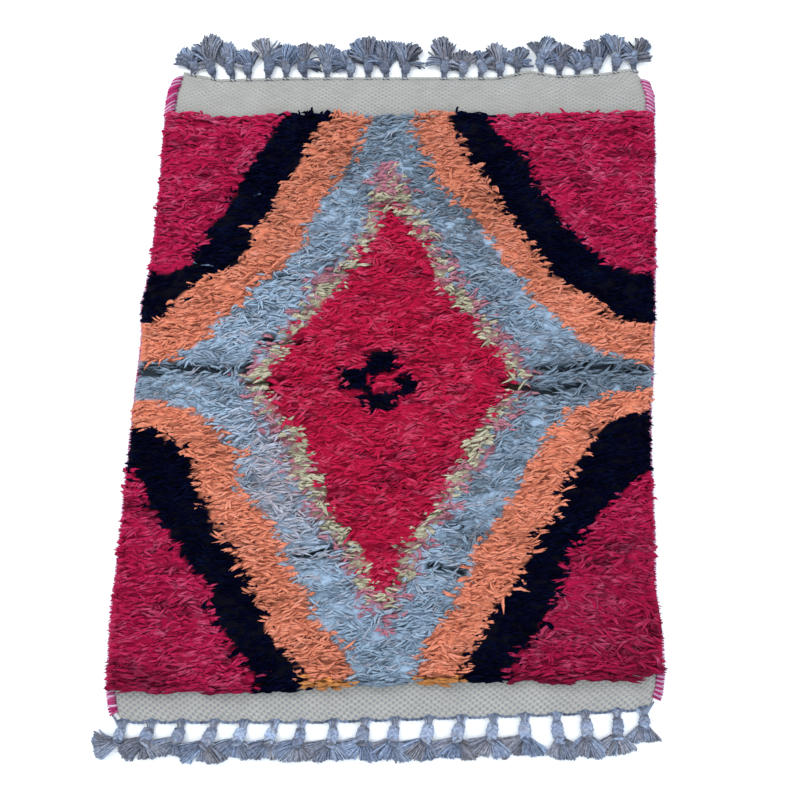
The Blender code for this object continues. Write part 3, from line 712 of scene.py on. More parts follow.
pile = {
    "seed": 7, "rows": 76, "knotPitch": 0.0080, "tuftsPerKnot": 1.82, "strandsPerTuft": 2.58,
    "rootHeight": 0.0045, "floor": 0.004, "edgeGap": 0.0045, "rowShift": 0.002,
    "knotJitter": (0.0012, 0.0011), "tuftJitter": (0.0022, 0.0028), "strandJitter": (0.0016, 0.0024),
    "headingJitter": 0.10, "crestJitter": 0.0012, "lap": 0.0052, "lapRise": 0.0010,
    "reach": (0.0130, 0.0230), "crest": (0.0072, 0.0112), "headingSpread": 0.20, "headingLean": 0.09,
    "radius": 0.00205, "flatness": 0.80, "thickShare": 0.20, "thickGirth": 1.5, "thickDrop": 0.0014,
    "wander": 0.0038, "curl": 0.22, "twist": 2.0, "steps": 3, "sides": 3, "crossing": 0.82,
    "shortTip": 0.62, "ringReach": 0.60, "leastReach": 0.0030, "strays": 0.04, "cornerStrays": 0.62,
    "partingCrest": 0.45, "partingShade": 0.35, "partingLoss": 0.72,
    "slits": 90, "slitCrest": 0.6, "slitLoss": 0.7,
    "clump": (0.024, 0.0105), "clumpRise": 0.55, "clumpShade": 0.30,
    "bedHeight": 0.0106, "bedCell": 0.0075, "bedFoot": 0.0037, "bedRim": 0.0046, "bedParting": 0.0052,
}
# Linear red, green, blue: a lock's painted shade deep in the pile, its body, and its lit strands
woolColours = {
    "crimson": ((0.272, 0.001, 0.024), (0.482, 0.008, 0.068), (0.612, 0.128, 0.252)),
    "lozengeCrimson": ((0.297, 0.001, 0.018), (0.512, 0.007, 0.054), (0.632, 0.108, 0.202)),
    "navy": ((0.000, 0.000, 0.003), (0.0003, 0.0006, 0.0095), (0.004, 0.009, 0.036)),
    "paleFleck": ((0.020, 0.030, 0.060), (0.090, 0.130, 0.210), (0.260, 0.340, 0.450)),
    "orange": ((0.590, 0.165, 0.086), (0.780, 0.252, 0.148), (0.820, 0.362, 0.262)),
    "amber": ((0.430, 0.165, 0.042), (0.740, 0.295, 0.085), (0.840, 0.420, 0.180)),
    "blue": ((0.180, 0.250, 0.345), (0.370, 0.480, 0.605), (0.465, 0.592, 0.725)),
    "lilac": ((0.280, 0.225, 0.245), (0.470, 0.398, 0.432), (0.575, 0.535, 0.560)),
    "sage": ((0.240, 0.205, 0.140), (0.500, 0.455, 0.315), (0.640, 0.600, 0.460)),
    "pink": ((0.240, 0.060, 0.090), (0.460, 0.160, 0.215), (0.620, 0.340, 0.400)),
}
# Painted shade deep between the locks: how much of its own colour the wool keeps there, for each zone below
bedShade = (1.00, 0.60, 1.10, 1.15, 1.00, 0.95, 1.00, 0.60, 1.00)
zoneColours = ("crimson", "navy", "orange", "blue", "sage", "pink", "lozengeCrimson", "navy", "amber")
clumpShadeByZone = (1.50, 0.0, 0.60, 0.85, 0.7, 0.7, 1.35, 0.0, 0.6)
pattern = {"amberTo": -0.3735, "lozenge": (-0.328, 0.298), "pinkShare": 0.62, "sageShare": 0.74}


def patternOf(x, y, chance):
    # 0 crimson, 1 navy, 2 orange, 3 blue, 4 sage, 5 pink, 6 lozenge crimson, 7 ring, 8 amber
    zone = np.full(x.shape, 3)
    for left, right, outer in ((leftOrangeBlue, rightBlueOrange, 2), (leftBlackOrange, rightOrangeBlack, 1),
                               (leftCrimsonBlack, rightBlackCrimson, 0)):
        zone = np.where((x < readTable(left, y)) | (x > readTable(right, y)), outer, zone)
    zone = np.where((zone == 2) & (y < pattern["amberTo"]), 8, zone)
    lines = [readTable(lozengeLine, y, column) for column in range(1, 7)]
    within = (y > pattern["lozenge"][0]) & (y < pattern["lozenge"][1])
    sageOrPink = np.where(chance < pattern["sageShare"], 4, 5)
    zone = np.where(within & (x > lines[0]) & (x < lines[5]) & (chance < pattern["pinkShare"]), 5, zone)
    zone = np.where(within & (x > lines[1]) & (x < lines[4]), sageOrPink, zone)
    zone = np.where(within & (x > lines[2]) & (x < lines[3]), 6, zone)
    for blocks, inner in ((lozengeTips, 6), (ringBlocks, 7)):
        for x0, y0, x1, y1 in blocks:
            zone = np.where((x > x0 * cm) & (x < x1 * cm) & (y > y0 * cm) & (y < y1 * cm), inner, zone)
    return zone


def clumpAt(x, y):
    # Soft lumps of pile, 0 to 1, wider across the rug than along it
    random = np.random.RandomState(pile["seed"] + 2)
    across, along = pile["clump"]
    grid = random.uniform(0.0, 1.0, (int(1.2 / along) + 2, int(1.0 / across) + 2))
    u, v = (x + 0.5) / across, (y + 0.1 * x + 0.6) / along
    i, j = u.astype(int), v.astype(int)
    s, t = smoothStep(0.0, 1.0, u - i), smoothStep(0.0, 1.0, v - j)
    low = grid[j, i] * (1.0 - s) + grid[j, i + 1] * s
    high = grid[j + 1, i] * (1.0 - s) + grid[j + 1, i + 1] * s
    return low * (1.0 - t) + high * t


def inParting(parting, x, y, margin=0.0):
    x0, x1, at, half = parting
    middle = (at + 0.25 * np.sin(x * 60.0)) * cm
    return (x > x0 * cm) & (x < x1 * cm) & (np.abs(y - middle) < (half + margin) * cm)


def shadeLocks(x, y, zone, above, clump, parted, near):
    # The blue wool is patchy and darker towards the far end, with painted shade by the side partings
    patch = np.sin(x * 88.0 + 2.1 * np.sin(y * 61.0)) * np.sin(y * 121.0 + 1.7 * np.sin(x * 75.0) + 0.6)
    sides = 0.28 * smoothStep(0.050, 0.015, np.abs(y + 0.002)) * smoothStep(0.14, 0.22, np.abs(x))
    blue = (0.08 + 0.15 * patch + 0.34 * smoothStep(0.10, 0.28, y) + 0.24 * smoothStep(0.0, 0.1, x)
            + 0.08 * smoothStep(-0.22, -0.32, y) + sides)
    # The orange is darker at the far end too, the crimson at the near corners
    orange = 0.04 + 0.05 * patch + 0.13 * smoothStep(0.05, 0.20, y)
    crimson = 0.03 + 0.05 * patch + smoothStep(-0.10, -0.28, y) * np.where(x > 0, 0.22, 0.07)
    shade = np.select([zone == 3, zone == 2, zone == 0], [blue, orange, crimson], 0.0)
    # Painted shade under the row that lies over each strand, in the hollows between clumps, in the partings
    # and along the pile's near edge
    shade = shade + np.where((zone == 0) | (zone == 6), 0.11, 0.06) * smoothStep(0.1, -0.8, above)
    hollowShade = pile["clumpShade"] * np.array(clumpShadeByZone)[zone] * smoothStep(0.45, 0.12, clump)
    shade = shade + parted + hollowShade + 0.30 * smoothStep(0.014, 0.003, y - near)
    return np.where((zone == 1) | (zone == 7), 0.0, np.clip(shade, 0.0, 0.7))


def layKnots():
    random = np.random.RandomState(pile["seed"])

    def jitter(size, count=None):
        return random.uniform(-size, size, count)

    def chosen(share, count):
        return random.uniform(0, 1, count) < share

    knots = []
    for row in range(pile["rows"]):
        share = (row + 0.5) / pile["rows"]
        x = np.arange(-0.36, 0.36, pile["knotPitch"]) + jitter(pile["rowShift"])
        x = x + jitter(pile["knotJitter"][0], len(x))
        near, far = readTable(pileNearEnd, x), readTable(pileFarEnd, x)
        y = near + (far - near) * share + jitter(pile["knotJitter"][1], len(x))
        gap = pile["edgeGap"]
        inside = (x > readTable(leftEdge, y) + gap) & (x < readTable(rightEdge, y) - gap)
        knots.append(np.stack((x[inside], y[inside]), axis=-1))
    knots = np.concatenate(knots)
    chance = random.uniform(0.0, 1.0, len(knots))
    zone = patternOf(knots[:, 0], knots[:, 1], chance)
    tone = random.uniform(0.0, 1.0, len(knots))
    # Each knot leaves one or two tufts, and each tuft two or three strands that stay together
    tufts = np.repeat(np.arange(len(knots)), np.where(chosen(pile["tuftsPerKnot"] - 1.0, len(knots)), 2, 1))
    m = len(tufts)
    first = np.concatenate(([True], tufts[1:] != tufts[:-1]))
    tuftSide = np.where(chosen(0.5, m), 0.0, math.pi)
    tuftSide = np.where(first, tuftSide, math.pi - np.roll(tuftSide, 1))
    tuftTurn = random.normal(0.0, pile["headingSpread"], m)
    tuftTurn = np.where(chosen(0.03, m), tuftTurn * 3.5, tuftTurn)
    # The blue wool is finer and lies less in one direction
    tuftBlue = zone[tufts] == 3
    tuftTurn = np.where(tuftBlue, tuftTurn * 1.7, tuftTurn)
    tuftX = knots[tufts, 0] + jitter(pile["tuftJitter"][0], m)
    tuftY = knots[tufts, 1] + jitter(pile["tuftJitter"][1], m)
    tuftReach = random.uniform(*pile["reach"], m)
    tuftCrest = random.uniform(*pile["crest"], m)
    tuftBend = random.normal(0.0, pile["curl"], m)
    pick = np.repeat(np.arange(m), np.where(chosen(pile["strandsPerTuft"] - 2.0, m), 3, 2))
    n = len(pick)
    side = tuftSide[pick]
    blue = tuftBlue[pick]
    x = tuftX[pick] + jitter(pile["strandJitter"][0], n)
    y = tuftY[pick] + jitter(pile["strandJitter"][1], n)
    turn = random.normal(0.0, pile["headingJitter"], n)
    heading = side + pile["headingLean"] + tuftTurn[pick] + turn
    reach = tuftReach[pick] * random.uniform(0.80, 1.15, n) * np.where(blue, 1.10, 1.0)
    crest = tuftCrest[pick] + jitter(pile["crestJitter"], n)
    girth = random.uniform(0.72, 1.20, n) * np.where(blue, 0.88, 1.0)
    bend = tuftBend[pick] + random.normal(0.0, pile["headingJitter"], n)
    # Some are thick soft locks that lie lower and fill the gaps
    thick = chosen(pile["thickShare"], n)
    girth = np.where(thick, girth * pile["thickGirth"], girth)
    crest = np.where(thick, crest - pile["thickDrop"], crest)
    knotOf = tufts[pick]
    zone = zone[knotOf]
    # Each row lies over the one before it, and shades its lower strands
    above = np.clip((y - knots[knotOf, 1]) / pile["lap"], -1.0, 1.0)
    crest = crest + pile["lapRise"] * above
    # Most strands that would cross into another colour stay short, a few lie over it as pointed tips
    tipZone = patternOf(x + reach * np.cos(heading), y + reach * np.sin(heading), chance[knotOf])
    crossing = (tipZone != zone) & chosen(pile["crossing"], m)[pick]
    reach = np.where(crossing, reach * pile["shortTip"], reach)
    # The ring's knots are short and stand up
    reach = np.where(zone == 7, reach * pile["ringReach"], reach)
    # The near right corner is messy and fans outwards
    corner = smoothStep(0.14, 0.30, x) * smoothStep(-0.20, -0.34, y)
    heading = heading - corner * np.where(side == 0.0, 0.55, 0.25) + corner * random.normal(0.0, 0.25, n)
    reach = reach * (1.0 + 0.35 * corner)
    # Rims: locks lie over the edge without leaving the rug's box
    room = np.where(side > 1.0, x - readTable(leftEdge, y), readTable(rightEdge, y) - x)
    bulge = 0.0012 * np.sin(y * 190.0) + 0.0012 * np.sin(y * 83.0 + 1.0)
    heading = heading + smoothStep(0.016, 0.006, room) * random.normal(0.0, 0.32, n)
    room = room + bulge + random.uniform(-0.0028, 0.0004, n)
    reach = np.minimum(reach, np.maximum(room, pile["leastReach"]))
    # Ends: locks turn along the band
    near, far = readTable(pileNearEnd, x), readTable(pileFarEnd, x)
    hug = np.maximum(smoothStep(0.022, 0.004, y - near), smoothStep(0.022, 0.004, far - y))
    heading = np.where(hug > 0, heading + (side - heading) * 0.75 * hug, heading)
    bend = bend * (1.0 - 0.7 * hug)
    # A few locks stick out over the far band, most where the black meets the orange
    strayShare = np.where((x > -0.13) & (x < -0.065), pile["cornerStrays"], pile["strays"])
    stray = (far - y < 0.012) & chosen(strayShare, n)
    heading = np.where(stray, math.pi / 2 + random.normal(0.0, 0.45, n), heading)
    reach = np.where(stray, random.uniform(0.0070, 0.0125, n), reach)
    girth = np.where(stray, girth * 1.2, girth)
    # Partings: lower and thinner locks, some left out
    keep = np.ones(n, dtype=bool)
    parted = np.zeros(n)
    for parting in partings:
        inside = inParting(parting, x, y)
        crest = np.where(inside, crest * pile["partingCrest"], crest)
        parted = np.where(inside, pile["partingShade"], parted)
        keep &= ~(inside & chosen(pile["partingLoss"], n))
    for _ in range(pile["slits"]):
        midX, midY = random.uniform(-0.33, 0.33), random.uniform(-0.375, 0.36)
        long, high = random.uniform(0.008, 0.020), random.uniform(0.0012, 0.0026)
        inside = (np.abs(x - midX) < long) & (np.abs(y - midY - 0.1 * (x - midX)) < high)
        crest = np.where(inside, crest * pile["slitCrest"], crest)
        keep &= ~(inside & chosen(pile["slitLoss"], n))
    clump = clumpAt(x, y)
    swell = 1.0 + 0.16 * np.sin(x * 31.0 + 1.3) * np.sin(y * 37.0 + x * 12.0)
    height = np.where(zone == 1, 0.84, np.where(zone == 2, 1.05, 1.0))
    crest = crest * swell * (1.0 + pile["clumpRise"] * (clump - 0.5)) * height
    # Painted shade: the row by the near band and the thick locks, which lie lower, take a darker tone
    shadeDown = 0.5 * smoothStep(0.010, 0.002, y - near) + 0.10 * thick
    locks = {
        "x": x, "y": y, "z": pile["rootHeight"] + np.zeros(n), "zone": zone,
        "heading": heading, "bend": bend, "reach": reach, "crest": crest, "girth": girth,
        "tone": np.clip(tone[knotOf] * 0.70 + random.uniform(0, 0.30, n) - shadeDown, 0, 1),
        "shade": shadeLocks(x, y, zone, above, clump, parted, near)}
    return {key: value[keep] for key, value in locks.items()}


pileLocks = lockTree("pileLock",
                     rise=((0.0, 0.0), (0.25, 0.62), (0.5, 0.98), (0.75, 1.0), (1.0, 0.80)),
                     run=((0.0, 0.0), (0.25, 0.14), (0.5, 0.42), (0.75, 0.72), (1.0, 1.0)),
                     girth=((0.0, 0.62), (0.25, 0.90), (0.5, 1.0), (0.8, 0.86), (1.0, 0.16)))

locks = layKnots()
zone, tone = locks["zone"], locks["tone"]
locks["dye"] = np.where((zone == 8) | (zone == 5) | ((zone == 1) & (tone > 0.985)), 1.0, 0.0)
# Some of the blue wool is greyer and pinker, most of all at the near left
greyer = smoothStep(0.10, -0.02, np.hypot(locks["x"] + 0.15, (locks["y"] + 0.14) * 0.6))
lilac = smoothStep(0.55, 0.9, tone) * 0.6 + 0.9 * greyer
locks["dye"] = np.where(zone == 3, np.clip(lilac, 0.0, 1.0), locks["dye"])


def pileWool(name, first, second=None, **settings):
    return woolMaterial(name, woolColours[first], woolColours.get(second), **settings)


crimsonWool = pileWool("crimsonPileWool", "crimson", sheen=0.16, contrast=1.1)
blackWool = pileWool("nearBlackPileWool", "navy", "paleFleck", sheen=0.0, specular=0.03)
orangeWool = pileWool("orangePileWool", "orange", "amber")
blueWool = pileWool("blueGreyPileWool", "blue", "lilac", contrast=0.9)
lineWool = pileWool("sageAndPinkPileWool", "sage", "pink")
lozengeWool = pileWool("lozengePileWool", "lozengeCrimson", sheen=0.16, contrast=1.1)
ringWool = pileWool("nearBlackRingWool", "navy", sheen=0.0, specular=0.03)
pileParts = (
    ("crimsonCornersLeft", (zone == 0) & (locks["x"] < 0), crimsonWool),
    ("crimsonCornersRight", (zone == 0) & (locks["x"] >= 0), crimsonWool),
    ("blackZigzag", zone == 1, blackWool),
    ("orangeZigzag", (zone == 2) | (zone == 8), orangeWool),
    ("blueFieldNear", (zone == 3) & (locks["y"] < 0.01), blueWool),
    ("blueFieldFar", (zone == 3) & (locks["y"] >= 0.01), blueWool),
    ("sagePinkLine", (zone == 4) | (zone == 5), lineWool),
    ("crimsonLozenge", zone == 6, lozengeWool),
    ("blackRing", zone == 7, ringWool),
)
for name, chosen, material in pileParts:
    values = {key: value[chosen] for key, value in locks.items() if key != "zone"}
    spots = np.stack([values.pop(key) for key in ("x", "y", "z")], axis=-1)
    source = meshFrom(name + "Roots", spots, [], [], values)
    piece = growPiece(name, source, pileLocks, **{
        "Yarn radius": pile["radius"], "Flatness": pile["flatness"], "Steps": pile["steps"],
        "Sides": pile["sides"], "Wander": pile["wander"], "Twist": pile["twist"], "Floor": pile["floor"],
        "Material": material})
    finishPiece(piece, "pile_wool", "pile")
    print(name + ":", int(chosen.sum()), "locks,", len(piece.data.polygons), "faces")


def makePileBed():
    # The shaded roots of the pile, seen only in the gaps between the locks
    nx, ny = int(0.70 / pile["bedCell"]), int(0.76 / pile["bedCell"])
    u, v = np.meshgrid(np.linspace(0, 1, nx + 1), np.linspace(0, 1, ny + 1))
    y0 = -0.385 + 0.755 * v
    left, right = readTable(leftEdge, y0) + 0.002, readTable(rightEdge, y0) - 0.002
    x = left + (right - left) * u
    near, far = readTable(pileNearEnd, x) + 0.003, readTable(pileFarEnd, x) - 0.003
    y = near + (far - near) * v
    random = np.random.RandomState(pile["seed"] + 1)
    clump = clumpAt(x, y)
    z = pile["bedHeight"] + 0.0055 * (clump - 0.5) + random.uniform(-0.0012, 0.0012, x.shape)
    # Painted shade in the hollows of the clumps, and darker still in the partings
    unshadedShare = 1.0 - 0.5 * smoothStep(0.42, 0.12, clump)
    for parting in partings:
        inside = inParting(parting, x, y, 0.25)
        z = np.where(inside, pile["bedParting"], z)
        unshadedShare = np.where(inside, 0.08, unshadedShare)
    rim = np.minimum(np.minimum(u, 1.0 - u) / 0.02, np.minimum(v, 1.0 - v) / 0.02)
    z = pile["bedRim"] + (z - pile["bedRim"]) * np.clip(rim, 0.0, 1.0)
    zone = patternOf(x, y, random.uniform(0, 1, x.shape))
    deep, body = (np.array([woolColours[name][k] for name in zoneColours]) for k in (0, 1))
    # Painted shade: each zone's colour, taken towards its deep shade and darkened by the factors above
    colour = (deep * 0.4 + body * 0.6)[zone] * (np.array(bedShade)[zone] * unshadedShare)[..., None]
    top = np.stack((x, y, z), axis=-1).reshape(-1, 3)
    low = top.copy()
    low[:, 2] = pile["bedFoot"]
    count = len(top)
    index = np.arange(count).reshape(ny + 1, nx + 1)
    upward = gridFaces(index)
    ring = rimOf(index)
    faces = upward.tolist() + (upward[:, [0, 3, 2, 1]] + count).tolist() + wallFaces(ring, ring + count)
    colours = np.concatenate((colour.reshape(-1, 3), np.ones((count, 1))), axis=1)
    mesh = meshFrom("shadedPileRoots", np.concatenate((top, low)), [], faces,
                    {"dyeAndShade": np.concatenate((colours, colours))})
    # The bed's material shows the dyed colour with its painted shade, streaked by a grain
    material, tree, shader = newMaterial("shadedPileRootWool", roughness=0.95, specular=0.1)
    grain = tree.noise(tree.place() * (130.0, 520.0, 300.0), 1.0, 3.0)
    dyeAndShade = tree.attribute("dyeAndShade", "Color")
    dark = tree.mix(tree.between(grain, 0.3, 0.7, 0.0, 0.4), dyeAndShade, (0.0, 0.0, 0.0))
    paint(tree, shader, dark, grain, 0.7, 0.001)
    finishPiece(addSmoothPiece(mesh, material), "pile_wool", "pile")


makePileBed()
print("pile done")

# The long edges: a bundle of warps overcast with crimson and pale yarn

overcast = {
    "seed": 21, "pitch": 0.0028, "bareRadius": 0.0029, "hiddenRadius": 0.0017, "yarn": 0.0015, "pale": 0.8,
    "inward": 0.0008, "slant": 0.75, "cord": 0.0026, "covered": (-0.004, 0.006), "ringRise": 0.0006,
    "ringFloor": 0.0018,
}
edgeYarn = ((0.150, 0.006, 0.050), (0.430, 0.025, 0.130), (0.640, 0.140, 0.300))
edgePaleYarn = ((0.270, 0.100, 0.185), (0.550, 0.300, 0.450), (0.730, 0.530, 0.660))
wrap = wrapTree()
plaited = plaitTree()


def pathMesh(name, points, attributes):
    return meshFrom(name, points, [(k, k + 1) for k in range(len(points) - 1)], [], attributes)


def underPile(x, y):
    # 1 where the pile lies over the edge, 0 at the bare corners
    near, far = y - readTable(pileNearEnd, x), readTable(pileFarEnd, x) - y
    return smoothStep(*overcast["covered"], near) * smoothStep(*overcast["covered"], far)


def makeOvercastEdge(name, node, edge, side):
    low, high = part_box(node)
    y = np.arange(low[1] + 0.002, high[1] + (0.004 if side < 0 else 0.0), overcast["pitch"])
    x = readTable(edge, y) - side * (edgeWidth * 0.5 + overcast["inward"])
    bare, hidden = overcast["bareRadius"], overcast["hiddenRadius"]
    radius = bare + (hidden - bare) * underPile(x, y)
    random = np.random.RandomState(overcast["seed"] + side)
    n = len(y)
    heading = np.arctan2(np.gradient(y), np.gradient(x)) + random.normal(0, 0.08, n)
    dye = ((np.arange(n) % 2 == 1) & (random.uniform(0, 1, n) < overcast["pale"])).astype(float)
    # Level stitches at the near corners, slanting ones at the far corners
    lean = (0.10 + 0.95 * smoothStep(-0.30, 0.30, y)) * random.uniform(0.75, 1.25, n) * side
    # The edge is wider at the far corners
    wider = (0.0010 if side > 0 else 0.0020) * smoothStep(0.36, 0.38, y)
    width = edgeWidth * 0.5 + 0.0002 + wider * (1.0 - smoothStep(0.405, 0.435, y))
    spots = np.stack((x, y, radius + overcast["ringRise"]), axis=-1)
    stitches = meshFrom(name + "Stitches", spots, [], [], {
        "heading": heading, "reach": width + random.uniform(-0.0003, 0.0006, n), "crest": radius - 0.0004,
        "girth": random.uniform(0.88, 1.08, n) * np.where(dye > 0.5, 1.12, 0.92),
        "tone": random.uniform(0, 1, n), "lean": lean, "dye": dye})
    material = woolMaterial(name + "Yarn", edgeYarn, edgePaleYarn, sheen=0.2)
    rings = growPiece(name + "Rings", stitches, wrap, **{
        "Steps": 10, "Yarn radius": overcast["yarn"], "Flatness": 0.8, "Sides": 5,
        "Slant": overcast["slant"], "Floor": overcast["ringFloor"], "Material": material})
    core = pathMesh(name + "Core", np.stack((x, y, np.zeros(n)), axis=-1), {
        "tone": np.full(n, 0.4), "girth": radius / bare, "dye": np.zeros(n)})
    cord = growPiece(name + "Cord", core, plaited, **{
        "Strands": 1, "Sway": 0.0, "Lift": 0.0, "Height": 0.0029, "Spacing": 0.006,
        "Yarn radius": overcast["cord"], "Flatness": 1.25, "Sides": 8, "End taper": 0.5,
        "Material": material})
    piece = joinMeshes(name, [rings, cord])
    finishPiece(piece, "selvedge_yarn", node)
    print(name + ":", n, "stitches,", len(piece.data.polygons), "faces")


makeOvercastEdge("overcastEdgeLeft", "selvedge_left", leftEdge, -1)
makeOvercastEdge("overcastEdgeRight", "selvedge_right", rightEdge, 1)

# The fringes: warps drawn together, plaited in threes, knotted and cut to brushes

fringe = {
    "seed": 31, "sway": 0.0039, "lift": 0.0017, "yarn": 0.0022, "height": 0.0054,
    "wave": 0.0004, "rootYarns": 10, "rootYarn": 0.0013, "cornerYarns": 4, "cornerStep": 0.0032,
    "wrapYarn": 0.0022, "wrapStep": 0.0030, "wraps": 3, "twineTurns": 90.0, "twineYarn": 0.0009,
}
# Each lobe of a cut brush: strands, half angle, turn off the brush's own line, reach
brushes = {
    "near": {
        "radius": 0.00135, "lift": (0.0010, 0.0060), "size": 1.22, "turns": 66.0, "rootSpread": 0.0085,
        "spread": 0.0036, "bow": 0.0018, "wander": 0.0024, "rounding": 0.16, "low": 0.18, "turn": 0.12,
        "shade": (0.0, 0.12), "rootShade": 0.12, "plaitShade": 0.08,
        "lobes": ((44, 0.36, -1.22, 1.0), (32, 0.36, -0.52, 1.0), (32, 0.36, 0.52, 1.0),
                  (44, 0.36, 1.22, 1.0))},
    "far": {
        "radius": 0.00200, "lift": (0.0020, 0.0105), "size": 1.14, "turns": 92.0, "rootSpread": 0.0052,
        "spread": 0.0046, "bow": 0.0040, "wander": 0.0034, "rounding": 0.18, "low": 0.32, "turn": 0.20,
        "shade": (0.08, 0.42), "rootShade": 0.58, "plaitShade": 0.46,
        "lobes": ((19, 0.16, -0.34, 0.97), (22, 0.15, 0.02, 1.08), (19, 0.16, 0.38, 0.97),
                  (9, 0.16, 1.26, 0.72))},
}
fringeYarn = ((0.058, 0.067, 0.104), (0.242, 0.300, 0.440), (0.480, 0.605, 0.820))
fringeTaupe = ((0.066, 0.061, 0.070), (0.242, 0.230, 0.258), (0.465, 0.468, 0.525))
farEndYarn = ((0.240, 0.232, 0.215), (0.390, 0.380, 0.350), (0.480, 0.470, 0.440))
brushLocks = lockTree("cutBrush",
                      rise=((0.0, 0.35), (0.25, 0.85), (0.5, 1.0), (0.75, 0.85), (1.0, 0.45)),
                      run=((0.0, 0.0), (0.25, 0.24), (0.5, 0.50), (0.75, 0.76), (1.0, 1.0)),
                      girth=((0.0, 0.80), (0.25, 0.95), (0.5, 1.0), (0.8, 1.0), (1.0, 0.72)))


def newYarns():
    return {key: [] for key in ("points", "edges", "tone", "dye", "girth")}


def addYarn(yarns, points, tone, dye, girth):
    # Adds one path to a dictionary of yarns; dye is one value or one for each point
    base = len(yarns["points"])
    yarns["points"] += points
    yarns["edges"] += [(base + k, base + k + 1) for k in range(len(points) - 1)]
    yarns["tone"] += [tone] * len(points)
    yarns["dye"] += dye if isinstance(dye, list) else [dye] * len(points)
    yarns["girth"] += girth


def yarnMesh(name, yarns, shade):
    values = {key: yarns[key] for key in ("tone", "girth", "dye")}
    values["shade"] = np.full(len(yarns["tone"]), shade)
    return meshFrom(name, yarns["points"], yarns["edges"], [], values)


def rowMesh(name, rows, labels, **more):
    table = np.array(rows)
    values = {label: table[:, 3 + k] for k, label in enumerate(labels)}
    return meshFrom(name, table[:, :3], [], [], {**values, **more})


def clamp(value):
    return min(max(value, 0.0), 1.0)


